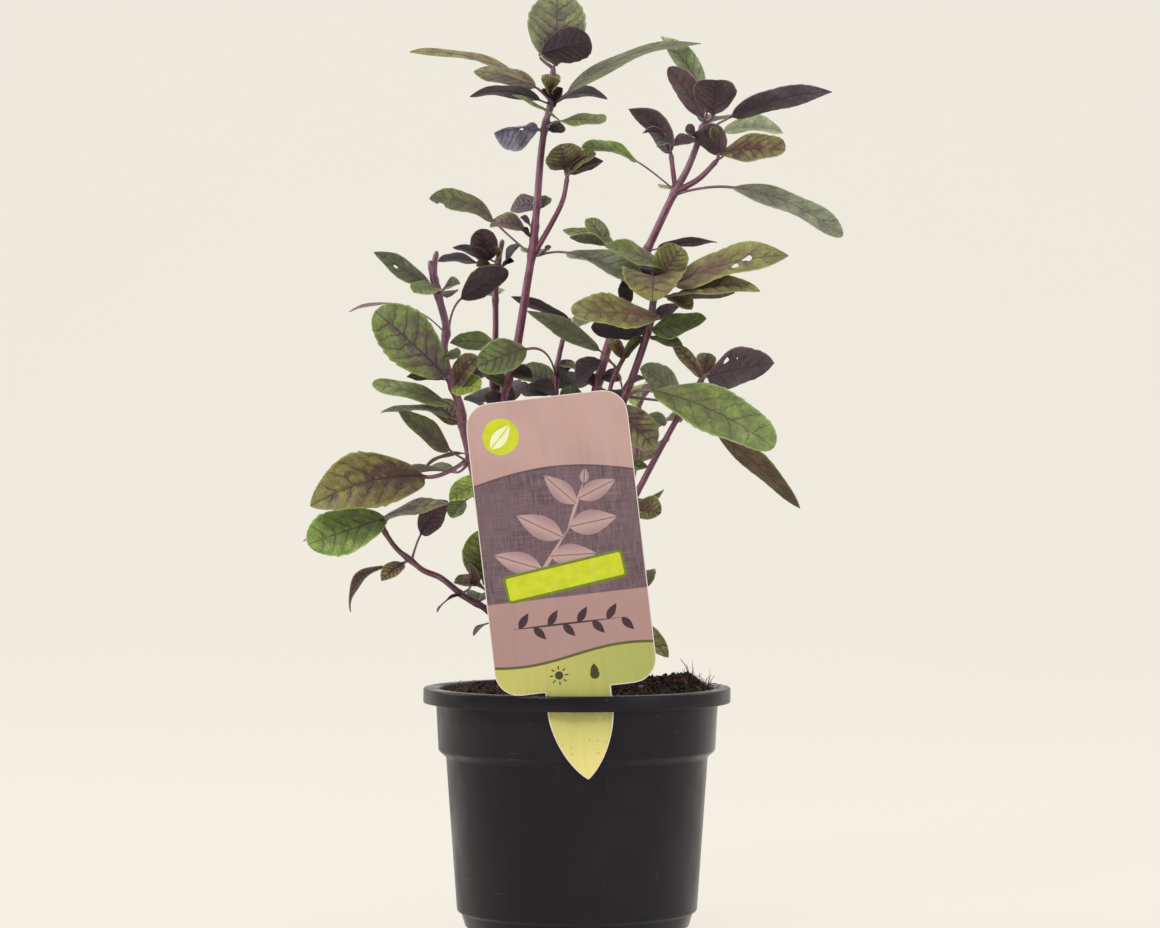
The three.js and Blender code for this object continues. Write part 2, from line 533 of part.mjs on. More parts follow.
stem("leafy_stem_middle_right", [
  shoot(2.0, 1.5, [
    [-9, -5, 84], [-9, -5, 108], [-4, -7, 140], [6, -9, 180], [15, -10, 207], [20, -11, 224],
    [23, -11, 231], [30, -12, 252], [32, -12, 263], [33, -12, 278],
  ]),
  shoot(1.1, 0.8, [[18, -11, 218], [14, -8, 226], [17, -6, 235], [20, -5, 242], [17, -4, 248]]),
], [
  leaf([16, 2, 289], [-6, 8, 295], 11, 34, { arch: 0.02, fold: 6, stalk: [33, -12, 277], blunt: 0.3 }),
  leaf([13, 3, 288], [4, 12, 300], 9, 58, { fold: 22, stalk: [33, -12, 277], blunt: 0.3 }),
  leaf([37, -13, 278], [12, -22, 286], 17, 36, { arch: 0.04, fold: 6, blunt: 0.8 }),
  leaf([33, -15, 271], [31, -49, 262], 27, 14, { arch: 0.18, fold: 14, blunt: 0.8 }),
  leaf([35, -14, 272], [44, -18, 286], 16, 66, { fold: 18, blunt: 1 }),
  leaf([40, -15, 270], [88, -27, 282], 25, 36, { arch: 0.075, fold: 5, stalk: [33, -12, 270], blunt: 0.8 }),
  leaf([41, -19, 266], [76, -31, 267], 15, 34, { arch: 0.11, fold: 5, stalk: [33, -12, 267], blunt: 0.4 }),
  leaf([41, -12, 266], [66, -20, 267], 8, -40, { arch: 0.02, fold: 3, stalk: [33, -12, 267] }),
  leaf([38, -15, 266], [48, -22, 260], 9, 46, { blunt: 0.8 }),
  leaf([34, -15, 257], [-2, -31, 258], 23, 42, { arch: 0.03, fold: 5, blunt: 1 }),
  leaf([31, -12, 253], [6, -11, 253], 16, -32, { arch: -0.06, fold: 3, blunt: 0.8 }),
  leaf([31, -13, 252], [54, -23, 256], 17, 40, { arch: -0.03, fold: 3, blunt: 0.8 }),
  leaf([33, -10, 256], [43, -6, 262], 8, 40),
  leaf([10, -4, 243], [-21, -4, 260], 12, 38, { arch: 0.03, fold: 3, stalk: [20, -11, 223], blunt: 0.3 }),
  leaf([10, -9, 239], [0, -16, 230], 12, -52, { blunt: 0.8 }),
  leaf([31, -24, 226], [81, -42, 202], 27, 42, { arch: 0.08, fold: 6, stalk: [21, -11, 224], blunt: 1 }),
  leaf([45, -8, 224], [27, 7, 236], 15, -58, { arch: 0.01, fold: 5, stalk: [20, -11, 224], blunt: 0.7 }),
  leaf([31, -13, 249], [44, -24, 244], 9, 26, { arch: 0.04, fold: 3 }),
  leaf([15, -22, 219], [32, -27, 202], 17, 55, { fold: 8, stalk: [20, -11, 220], blunt: 0.8 }),
  leaf([12, -11, 193], [30, -13, 194], 9, 45),
  leaf([42, 0, 272], [55, 30, 275], 18, 0, { fold: 6, stalk: [33, -12, 270] }),
  leaf([15, -18, 222], [12, -31, 226], 11, 20, { stalk: [20, -11, 222] }),
]);

stem("leafy_stem_low_right", [
  shoot(1.8, 1.1, [
    [-1, -9, 84], [-1, -9, 108], [4, -12, 135], [14, -17, 162], [26, -20, 185], [35, -21, 202],
    [44, -22, 218], [53, -22, 232],
  ]),
], [
  leaf([54, -20, 232], [83, -8, 238], 21, -52, { arch: 0.02, fold: 5, blunt: 0.9 }),
  leaf([53, -21, 232], [55, -11, 242], 9, 45),
  leaf([58, -22, 209], [93, -24, 177], 13, -32, { arch: 0.04, fold: 4, stalk: [44, -22, 217], blunt: 0.3 }),
  leaf([47, -12, 217], [66, 12, 221], 18, 2, { fold: 6, stalk: [43, -22, 215] }),
  leaf([22, -18, 175], [35, -26, 175], 14, 50, { blunt: 0.9 }),
  leaf([11, -16, 127], [38, -27, 115], 15, 42, { arch: 0.16, stalk: [3, -11, 130] }),
  leaf([19, -10, 172], [12, 16, 176], 16, 4, { stalk: [17, -18, 167] }),
]);

stem("leafy_branch_low_left", [
  shoot(1.6, 1.0, [
    [-22, -7, 84], [-22, -7, 108], [-26, -11, 122], [-37, -17, 134], [-47, -20, 140], [-57, -22, 148],
    [-64, -23, 151], [-69, -23, 155], [-75, -24, 160], [-80, -24, 167], [-83, -24, 173],
  ]),
], [
  leaf([-79, -25, 173], [-111, -37, 162], 22, 58, { arch: 0.02, fold: 6, blunt: 1 }),
  leaf([-84, -19, 174], [-115, -10, 163], 13, 20, { arch: 0.08, fold: 4, stalk: [-80, -24, 168] }),
  leaf([-81, -26, 173], [-53, -35, 179], 14, 28, { arch: 0.04, fold: 4 }),
  leaf([-65, -27, 166], [-54, -20, 180], 13, -52, { fold: 8, stalk: [-69, -23, 155], blunt: 0.4 }),
  leaf([-72, -25, 154], [-81, -32, 147], 8, 50),
  leaf([-79, -26, 153], [-94, -31, 134], 11, -20, { arch: 0.24, fold: 4, stalk: [-70, -23, 155], blunt: 0.3 }),
  leaf([-38, -21, 143], [-51, -30, 146], 11, 34),
  leaf([-82, -14, 169], [-99, 14, 166], 18, 4, { stalk: [-80, -24, 167] }),
  leaf([-42, -8, 137], [-40, 18, 139], 13, 4, { stalk: [-37, -17, 134] }),
  leaf([-44, -26, 145], [-45, -40, 155], 9, 52),
]);

stem("leafy_stem_back_left", [
  shoot(1.8, 1.2, [
    [-16, 19, 84], [-16, 19, 108], [-20, 30, 140], [-27, 44, 175], [-30, 53, 205], [-29, 56, 224],
  ]),
], [
  leaf([-22, 44, 151], [-28, 86, 150], 25, 4, { arch: 0.18, stalk: [-21, 34, 150] }),
  leaf([-27, 42, 156], [-38, 66, 152], 20, -8, { arch: 0.12, stalk: [-23, 36, 155] }),
  leaf([-18, 46, 168], [2, 68, 167], 20, -8, { arch: 0.12, stalk: [-25, 40, 165] }),
  leaf([-33, 54, 186], [-42, 80, 189], 19, -8, { arch: 0.12, stalk: [-28, 47, 184] }),
  leaf([-28, 64, 200], [-24, 98, 202], 24, 4, { arch: 0.18, stalk: [-30, 52, 198] }),
  leaf([-22, 62, 212], [-2, 78, 216], 18, -10, { arch: 0.14, stalk: [-30, 54, 210] }),
  leaf([-36, 58, 216], [-50, 66, 224], 15, -14),
  leaf([-29, 58, 223], [-30, 74, 232], 12, -40, { fold: 26 }),
  leaf([-28, 55, 223], [-21, 48, 230], 9, 40, { fold: 24 }),
]);

stem("leafy_stem_back_right", [
  shoot(1.9, 1.2, [
    [4, 11, 84], [4, 11, 108], [11, 24, 140], [20, 38, 172], [26, 48, 200], [27, 53, 222],
  ]),
], [
  leaf([14, 36, 140], [12, 78, 136], 25, 2, { arch: 0.18, stalk: [11, 25, 142] }),
  leaf([18, 30, 146], [30, 54, 141], 20, -6, { arch: 0.12, stalk: [13, 28, 148] }),
  leaf([26, 42, 176], [32, 70, 177], 20, -6, { arch: 0.12, stalk: [20, 38, 174] }),
  leaf([18, 50, 178], [4, 84, 180], 22, -8, { arch: 0.16, stalk: [21, 40, 176] }),
  leaf([28, 58, 196], [32, 94, 198], 24, 2, { arch: 0.18, stalk: [25, 47, 196] }),
  leaf([32, 52, 210], [46, 68, 214], 18, -8, { arch: 0.12, stalk: [27, 50, 208] }),
  leaf([22, 56, 216], [10, 68, 224], 15, -16),
  leaf([27, 54, 221], [30, 68, 231], 12, -42, { fold: 26 }),
  leaf([28, 52, 221], [34, 44, 229], 10, 42, { fold: 24 }),
]);

plant.add(namedMesh("nursery_pot", pot(), POT_FINISH));
plant.add(namedMesh("potting_soil", soil(stemHoles), SOIL_FINISH));
plant.add(namedMesh("plant_label", label(), LABEL_FINISH));

export default plant;
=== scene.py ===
# Looks of the potted basil: nursery pot, peat, plant label and the leafy stems, with the stage.
# Sizes are in millimetres, apart from the camera's and the stage's. Meshes are made in metres.
import json
import math
import random

import bmesh
import bpy
import numpy as np
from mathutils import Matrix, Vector, noise

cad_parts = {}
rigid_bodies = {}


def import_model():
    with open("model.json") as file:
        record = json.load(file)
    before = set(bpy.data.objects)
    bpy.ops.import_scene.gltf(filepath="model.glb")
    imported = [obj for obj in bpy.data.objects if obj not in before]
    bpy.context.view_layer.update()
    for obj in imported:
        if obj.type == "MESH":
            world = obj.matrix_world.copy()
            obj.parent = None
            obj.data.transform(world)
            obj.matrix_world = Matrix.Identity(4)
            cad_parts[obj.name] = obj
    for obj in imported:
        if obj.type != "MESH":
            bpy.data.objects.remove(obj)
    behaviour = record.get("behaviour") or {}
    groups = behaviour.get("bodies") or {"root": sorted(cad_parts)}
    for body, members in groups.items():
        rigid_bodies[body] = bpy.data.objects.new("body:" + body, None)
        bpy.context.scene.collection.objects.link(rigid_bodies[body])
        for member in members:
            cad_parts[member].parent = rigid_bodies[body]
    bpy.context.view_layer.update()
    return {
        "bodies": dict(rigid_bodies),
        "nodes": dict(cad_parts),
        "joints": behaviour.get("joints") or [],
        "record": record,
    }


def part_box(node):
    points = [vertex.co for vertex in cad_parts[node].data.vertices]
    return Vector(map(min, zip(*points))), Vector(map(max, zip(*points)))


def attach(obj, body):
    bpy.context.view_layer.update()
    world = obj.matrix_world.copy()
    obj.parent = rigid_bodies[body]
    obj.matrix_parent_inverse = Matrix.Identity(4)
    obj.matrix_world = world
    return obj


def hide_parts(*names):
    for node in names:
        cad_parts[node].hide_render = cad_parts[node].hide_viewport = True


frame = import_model()

MM = 0.001

# Camera, in metres: level, above the pot's rim, and as far off as the rim's ellipse shows
CAMERA_PLACE = (0.0013, -1.5, 0.1954)
VIEW_WIDTH = 0.4913
SENSOR_WIDTH = 36.0

# Pot, from the frame's box and the steps seen in its outline
POT_HEIGHT = (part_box("nursery_pot")[1][2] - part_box("nursery_pot")[0][2]) / MM
RIM_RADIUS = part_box("nursery_pot")[1][0] / MM
LIP_HEIGHT = 6.3
LIP_WALL = 1.2
FLANGE_WALL = 1.4
COLLAR_RADIUS = 59.9
COLLAR_FOOT_RADIUS = 58.6
COLLAR_FOOT_Z = 74.5
BODY_TOP_RADIUS = 55.4
BODY_TOP_Z = 71.8
BODY_FOOT_RADIUS = 50.8
BODY_FOOT_Z = 6.8
FOOT_TOP_RADIUS = 49.0
FOOT_RADIUS = 47.3
POT_WALL = 1.4
FLOOR_WALL = 1.8
POT_ROUNDING = 0.9
POT_SEGMENTS = 128
DRAIN_COUNT = 6
DRAIN_RADIUS = 4.0
DRAIN_CIRCLE = 36.0
SLOT_CENTRE_X = 1.9
SLOT_WIDTH = 30.4
SLOT_DEPTH = 1.5

# Soil
SOIL_EDGE_Z = 97.5
SOIL_HEAP = 7.0
SOIL_RADIUS = COLLAR_RADIUS - POT_WALL - 0.5
SOIL_RINGS = 60
SOIL_SEGMENTS = 160
SOIL_GAP = 0.3  # between the peat and the pot's wall
CLUMP_PLACE = (48, 4)
CLUMP_HEIGHT = 7
CLUMP_SPREAD = 150
TUFT_PLACE = (52.5, -4.0)
TUFT_RADIUS = 7.5

# Label
LABEL_WIDTH = 66.0
LABEL_HEIGHT = 119.6
LABEL_CORNER = 10.0
LABEL_LEAN = math.radians(6.6)
LABEL_BASE = Vector((0.5, -60.6, 103.9))
TONGUE_HALF_WIDTH = 13.4
TONGUE_SHOULDER = 10.0
TONGUE_LENGTH = 37.0
TONGUE_CURVE = [  # half widths and heights that its pointed end is drawn by
    (TONGUE_HALF_WIDTH, -TONGUE_SHOULDER), (12.0, -24.0), (4.5, -34.0), (0.0, -TONGUE_LENGTH),
]
LABEL_CARD = 0.5
LABEL_BORDER = 0.35
LABEL_BOW = 0.8
LABEL_ARCH_Z = 84.0
LABEL_ARCH_RISE = 7.0
LABEL_ARCH_SPAN = 84
LABEL_CLOTH_FOOT = 38.0
LABEL_HEM = 0.35
LABEL_PANEL = (0.0, 46.0)
LABEL_PANEL_SIZE = (50.0, 11.5)
LABEL_PANEL_CORNER = 2.0
LABEL_PANEL_FRAME = 1.1
LABEL_PANEL_TURN = math.radians(7)
LABEL_GARLAND_Z = 27
LABEL_GARLAND_REACH = 24
LABEL_GARLAND_PITCH = 6
LABEL_BAND_Z = 14.0
LABEL_BAND_WAVE = 2.6
LABEL_BAND_SPAN = 44
LABEL_BAND_LINE = 0.55
LABEL_BADGE = (-19.5, 105.5)
LABEL_BADGE_RADIUS = 7.4
LABEL_BADGE_LEAF = ((-24.0, 101.0), (-15.0, 110.0), 6.0)
LABEL_SUN = (-7.0, 6.4)
LABEL_SUN_RADIUS = 1.7
LABEL_RAY_COUNT = 8
LABEL_RAY_CIRCLE = 3.1
LABEL_RAY_SIZE = (1.5, 0.55)
LABEL_DROP = (7.5, 6.2)
LABEL_DROP_RADIUS = 1.9
LABEL_DROP_HEIGHT = 3.6
LABEL_SPRIG_STALKS = [((-16, 40), (4, 66), 1.6), ((3, 64), (12, 84), 1.3)]
LABEL_SPRIG_LEAVES = [  # root, tip and width of each drawn leaf
    ((-9, 50), (-28, 58), 9), ((-5, 55), (14, 54), 9), ((1, 62), (-17, 73), 9.5), ((4, 66), (24, 68), 10),
    ((8, 75), (-4, 88), 8), ((9, 77), (25, 83), 8), ((12, 83), (13, 89), 4),
]

# Leaves and stems
VEIN_PAIRS = 5
VEIN_REACH = 0.8
VEIN_ALTERNATE = 0.12
VEIN_OUTPUTS = ("Ribs", "Halo", "Heart", "Net", "Edge", "Height")
SIDE_VEIN_DEPTH = 0.88  # beside the midrib
TOOTH_PITCH = 3.4
TOOTH_ROWS = 4
TOOTH_DEPTH = 0.022
WAVE_DEPTH = 0.05
PUCKER = 0.011
BLADE_THICKNESS = 0.45
EDGE_THICKNESS = 0.22
STEM_SIDES = 16
HAIR_DENSITY = 0.5  # on a square millimetre
SHORTEST_HAIR = 0.35
LONGEST_HAIR = 1.0
HAIR_RADIUS = 0.035
HAIR_SEED = 20


def placed(name, data):
    """A new object of the scene that shows the data."""
    made = bpy.data.objects.new(name, data)
    bpy.context.collection.objects.link(made)
    return made


def make_camera():
    """The photograph's camera: its frame is VIEW_WIDTH wide at the pot's axis."""
    data = bpy.data.cameras.new("camera")
    data.sensor_fit = "HORIZONTAL"
    data.sensor_width = SENSOR_WIDTH
    data.lens = SENSOR_WIDTH * -CAMERA_PLACE[1] / VIEW_WIDTH
    data.clip_end = 50
    camera = placed("camera", data)
    camera.location = CAMERA_PLACE
    camera.rotation_euler = (math.radians(90), 0, 0)
    bpy.context.scene.camera = camera


make_camera()


# Meshes

def new_object(name, points, faces, materials):
    """A mesh object at the origin from points in millimetres."""
    mesh = bpy.data.meshes.new(name)
    mesh.from_pydata([[c * MM for c in p] for p in points], [], faces)
    mesh.validate()
    for material in materials:
        mesh.materials.append(material)
    mesh.shade_smooth()
    return placed(name, mesh)


def point_values(piece, name, values):
    """A number for each point of a mesh, for its material to read."""
    layer = piece.data.attributes.new(name, "FLOAT", "POINT")
    layer.data.foreach_set("value", values)


def turned_mesh(outline, segments):
    """Points and faces of an outline of radius and height turned about the Z axis."""
    points, faces = [], []
    rows = []
    for radius, z in outline:
        if radius < 1e-6:
            rows.append([len(points)] * segments)
            points.append((0, 0, z))
            continue
        rows.append(list(range(len(points), len(points) + segments)))
        for i in range(segments):
            angle = 2 * math.pi * i / segments
            points.append((radius * math.cos(angle), radius * math.sin(angle), z))
    for low, high in zip(rows, rows[1:]):
        for i in range(segments):
            j = (i + 1) % segments
            face = list(dict.fromkeys((low[i], low[j], high[j], high[i])))
            faces.append(face)
    return points, faces


def rounded(outline, radius, steps=3):
    """The outline with each inner corner turned into a short arc."""
    result = [outline[0]]
    for before, corner, after in zip(outline, outline[1:], outline[2:]):
        a, b, c = Vector(before), Vector(corner), Vector(after)
        reach = min(radius, 0.4 * (b - a).length, 0.4 * (c - b).length)
        start = b + (a - b).normalized() * reach
        end = b + (c - b).normalized() * reach
        for k in range(steps + 1):
            t = k / steps
            point = start * (1 - t) ** 2 + b * 2 * t * (1 - t) + end * t ** 2
            result.append(tuple(point))
    result.append(outline[-1])
    return result


def apply_modifiers(piece):
    """Bakes a piece's modifiers into a plain mesh."""
    bpy.context.view_layer.update()
    graph = bpy.context.evaluated_depsgraph_get()
    mesh = bpy.data.meshes.new_from_object(piece.evaluated_get(graph))
    piece.modifiers.clear()
    old = piece.data
    piece.data = mesh
    bpy.data.meshes.remove(old)
    mesh.name = piece.name
    return piece


# Colours and shader trees

def linear(code):
    """A colour given as #rrggbb, in the linear values that shaders take."""
    parts = [int(code[i:i + 2], 16) / 255 for i in (1, 3, 5)]
    return tuple(c / 12.92 if c <= 0.04045 else ((c + 0.055) / 1.055) ** 2.4 for c in parts)


def paint(code):
    """The same colour for a shader's socket, with its alpha."""
    return (*linear(code), 1.0)


class Nodes:
    """Adds nodes to a tree and joins them. An input is fed by a socket or set to a value."""

    prefix = ""

    def __init__(self, tree):
        self.tree = tree

    def node(self, kind, inputs=None, **settings):
        made = self.tree.nodes.new(self.prefix + kind)
        for key, value in settings.items():
            setattr(made, key, value)
        for key, value in (inputs or {}).items():
            self.feed(made.inputs[key], value)
        return made

    def feed(self, socket, value):
        if isinstance(value, bpy.types.NodeSocket):
            self.tree.links.new(value, socket)
        else:
            socket.default_value = value


class Graph(Nodes):
    """A shader tree."""

    prefix = "ShaderNode"

    def maths(self, operation, *values, clamp=False):
        made = self.node("Math", dict(enumerate(values)), operation=operation, use_clamp=clamp)
        return made.outputs[0]

    def times(self, first, second, clamp=False):
        return self.maths("MULTIPLY", first, second, clamp=clamp)

    def times_plus(self, first, second, third, clamp=False):
        return self.maths("MULTIPLY_ADD", first, second, third, clamp=clamp)

    def plus(self, first, second):
        return self.maths("ADD", first, second)

    def minus(self, first, second):
        return self.maths("SUBTRACT", first, second)

    def absolute(self, value):
        return self.maths("ABSOLUTE", value)

    def mix(self, share, first, second, blend="MIX"):
        """Two colours mixed. Each is a socket or a colour's code."""
        first, second = (paint(c) if isinstance(c, str) else c for c in (first, second))
        made = self.node("Mix", {0: share, 6: first, 7: second}, data_type="RGBA", blend_type=blend)
        return made.outputs[2]

    def step(self, value, low, high, start=0.0, end=1.0):
        """A smooth step from start to end while value goes from low to high."""
        inputs = {0: value, 1: low, 2: high, 3: start, 4: end}
        return self.node("MapRange", inputs, interpolation_type="SMOOTHSTEP").outputs[0]

    def noise(self, place, scale, detail=2.0, roughness=0.5):
        inputs = {"Vector": place, "Scale": scale, "Detail": detail, "Roughness": roughness}
        return self.node("TexNoise", inputs).outputs[0]

    def cell_edges(self, place, scale):
        """Distance to the nearest edge between cells."""
        made = self.node("TexVoronoi", {"Vector": place, "Scale": scale}, feature="DISTANCE_TO_EDGE")
        return made.outputs["Distance"]

    def stretched(self, place, scale):
        return self.node("Mapping", {"Vector": place, "Scale": scale}).outputs[0]

    def attribute(self, name, output="Fac"):
        return self.node("Attribute", attribute_name=name).outputs[output]

    def parts(self, vector):
        return self.node("SeparateXYZ", {0: vector}).outputs

    def joined(self, x, y, z=0.0):
        return self.node("CombineXYZ", {0: x, 1: y, 2: z}).outputs[0]

    def bump(self, height, distance, strength=1.0):
        inputs = {"Height": height, "Distance": distance, "Strength": strength}
        return self.node("Bump", inputs).outputs[0]

    def group(self, tree, inputs):
        return self.node("Group", inputs, node_tree=tree).outputs


def add_sockets(tree, in_out, kinds):
    """Gives a tree sockets of these names and kinds, and tells their identifiers."""
    names = {}
    for label, kind in kinds.items():
        socket = tree.interface.new_socket(label, in_out=in_out, socket_type="NodeSocket" + kind)
        names[label] = socket.identifier
    return names


def new_group(name, inputs, outputs):
    """An empty shader group, its graph, its inputs' outlets and its closing node's inputs."""
    tree = bpy.data.node_groups.new(name, "ShaderNodeTree")
    add_sockets(tree, "INPUT", inputs)
    add_sockets(tree, "OUTPUT", dict.fromkeys(outputs, "Float"))
    source = tree.nodes.new("NodeGroupInput").outputs
    end = tree.nodes.new("NodeGroupOutput").inputs
    return tree, Graph(tree), source, end


def new_material(name, **constants):
    """A material with one Principled shader. The constants are set on the shader's own sockets."""
    material = bpy.data.materials.new(name)
    material.use_nodes = True
    shader = material.node_tree.nodes["Principled BSDF"]
    for label, value in constants.items():
        shader.inputs[label.replace("_", " ")].default_value = value
    return material, Graph(material.node_tree), shader.inputs


# Shader groups that several finishes share

def make_mottle():
    """Soft irregular patches."""
    inputs = {"Place": "Vector", "Scale": "Float", "Low": "Float", "High": "Float"}
    tree, graph, source, end = new_group("mottle", inputs, ["Mask"])
    value = graph.noise(source["Place"], source["Scale"], 4.0, 0.6)
    graph.feed(end["Mask"], graph.step(value, source["Low"], source["High"]))
    return tree


def make_specks():
    """Small round specks, scattered: some cells have one and most have none."""
    inputs = {"Place": "Vector", "Scale": "Float", "Size": "Float", "Share": "Float"}
    tree, graph, source, end = new_group("specks", inputs, ["Mask"])
    cell = graph.node("TexVoronoi", {"Vector": source["Place"], "Scale": source["Scale"]})
    near = graph.maths("LESS_THAN", cell.outputs["Distance"], source["Size"])
    chosen = graph.maths("LESS_THAN", graph.parts(cell.outputs["Color"])[0], source["Share"])
    graph.feed(end["Mask"], graph.times(near, chosen))
    return tree


def make_leaf_veins():
    """Midrib, side veins and the fine net between them, on a blade's own coordinates.

    Blade is the UV: across the blade with the midrib at 0.5, and the row from root to tip.
    Span is in millimetres: across, along, and a shift for each leaf.
    """
    inputs = {"Blade": "Vector", "Span": "Vector", "Length": "Float"}
    tree, graph, source, end = new_group("leaf_veins", inputs, VEIN_OUTPUTS)
    across, row, _ = graph.parts(source["Blade"])
    offset = graph.minus(across, 0.5)
    out = graph.times(graph.absolute(offset), 2.0)
    from_midrib = graph.absolute(graph.parts(source["Span"])[0])
    mid_width = graph.step(row, 0.0, 1.0, 0.6, 0.22)
    mid_core = graph.times(mid_width, 0.4)
    midrib = graph.step(from_midrib, mid_core, mid_width, 1.0, 0.0)
    drift = graph.minus(graph.noise(source["Span"], 0.25), 0.5)
    wander = graph.times(drift, 0.7)
    alternate = graph.times(graph.maths("SIGN", offset), VEIN_ALTERNATE)
    phase = graph.times_plus(row, VEIN_PAIRS / VEIN_REACH, graph.plus(wander, alternate))
    away = graph.maths("PINGPONG", phase, 0.5)
    pitch = graph.times(source["Length"], 0.75 * VEIN_REACH / VEIN_PAIRS)
    from_vein = graph.times(away, pitch)
    vein_width = graph.step(out, 0.0, 1.0, 0.34, 0.12)
    vein = graph.step(from_vein, graph.times(vein_width, 0.3), vein_width, 1.0, 0.0)
    inner = graph.times(graph.step(row, 0.02, 0.07), graph.step(row, 0.97, 0.85))
    inner = graph.times(inner, graph.step(out, 1.0, 0.8))
    vein = graph.times(vein, inner)
    ribs = graph.maths("MAXIMUM", midrib, graph.times(vein, SIDE_VEIN_DEPTH))
    halo = graph.times(graph.step(from_vein, 0.1, 1.5, 1.0, 0.0), inner)
    reach = graph.times_plus(row, 0.7, graph.times(out, 0.62))
    heart = graph.step(graph.times_plus(drift, -1.3, reach), 0.2, 0.8, 1.0, 0.0)
    net = graph.step(graph.cell_edges(source["Span"], 0.55), 0.0, 0.16, 1.0, 0.0)
    fine_net = graph.step(graph.cell_edges(source["Span"], 1.5), 0.0, 0.2, 1.0, 0.0)
    net = graph.times_plus(fine_net, 0.45, net, clamp=True)
    relief = graph.times_plus(net, 0.3, ribs)
    edge = graph.step(out, 0.9, 1.0)
    for label, value in zip(VEIN_OUTPUTS, (ribs, halo, heart, net, edge, relief)):
        graph.feed(end[label], value)
    return tree


MOTTLE = make_mottle()
SPECKS = make_specks()
LEAF_VEINS = make_leaf_veins()


def mottle(graph, place, scale, low, high):
    """The mask of the mottle group, placed in a material."""
    return graph.group(MOTTLE, {"Place": place, "Scale": scale, "Low": low, "High": high})["Mask"]


def specks(graph, place, scale, size, share):
    """The mask of the specks group, placed in a material."""
    return graph.group(SPECKS, {"Place": place, "Scale": scale, "Size": size, "Share": share})["Mask"]


# Finishes of the leaves and stems

GLAND_PALE = "#d3cfae"
# The stems' pale and dark colours make their streaks, and also a painted highlight on the ribs and painted
# shade in the grooves.
STEM_PALE_STREAK_AND_HIGHLIGHT = "#bd90a6"
STEM_DARK_STREAK_AND_SHADE = "#200c13"
STEM_CORK = "#6f5a3e"
STEM_PORE = "#c9a6a4"
HAIR_DARK = "#7f5a6b"
HAIR_PALE = "#c3aeb1"


def leaf_finish(name, under):
    """The skin of one face of a blade. Each leaf's own colours come with its mesh."""
    material, graph, shader = new_material(
        name, Sheen_Weight=0.04, Sheen_Roughness=0.4, Subsurface_Weight=0.15, Subsurface_Scale=0.0012,
        Subsurface_Radius=(0.6, 1.0, 0.25), Specular_IOR_Level=0.5)
    blade_uv = graph.node("UVMap", uv_map="UVMap").outputs[0]
    span = graph.attribute("span", "Vector")
    length = graph.attribute("leaf_length")
    veins = graph.group(LEAF_VEINS, {"Blade": blade_uv, "Span": span, "Length": length})
    colour = graph.attribute("under" if under else "blade", "Color")
    flush = graph.attribute("flush", "Color")
    rib = graph.attribute("rib", "Color")
    cover = graph.attribute("cover")
    broad = graph.noise(span, 0.16, 3.0)
    shade = graph.step(broad, 0.28, 0.72, 0.66, 1.34)
    blister = graph.step(graph.noise(span, 0.75, 5.0, 0.7), 0.3, 0.7, 0.76, 1.24)
    shade = graph.times(shade, blister)
    colour = graph.mix(1.0, colour, graph.joined(shade, shade, shade), "MULTIPLY")
    patch = mottle(graph, span, 0.13, 0.36, 0.66)
    stain = graph.times_plus(patch, 0.35, graph.times(veins["Heart"], 1.25))
    stain = graph.times_plus(veins["Halo"], 0.3, stain)
    stain = graph.times(stain, cover, clamp=True)
    colour = graph.mix(stain, colour, flush)
    colour = graph.mix(graph.times(veins["Net"], 0.12 if under else 0.2), colour, rib)
    colour = graph.mix(graph.times(veins["Ribs"], 0.75), colour, rib)
    rim = graph.attribute("rim", "Color")
    colour = graph.mix(graph.times(veins["Edge"], 0.7), colour, rim)
    glands = specks(graph, span, 2.6, 0.2, 0.4)
    colour = graph.mix(graph.times(glands, 0.2), colour, GLAND_PALE)
    graph.feed(shader["Base Color"], colour)
    wax = graph.times_plus(graph.noise(span, 0.9, 3.0), 0.26, 0.24 if not under else 0.36)
    graph.feed(shader["Roughness"], graph.times_plus(veins["Net"], 0.08, wax))
    grain = graph.times(graph.noise(span, 1.6, 4.0, 0.6), 0.9)
    direction = 1.0 if under else -1.0
    relief = graph.times_plus(veins["Height"], direction, grain)
    graph.feed(shader["Normal"], graph.bump(relief, 0.0004 if under else 0.0005, 0.9))
    return material


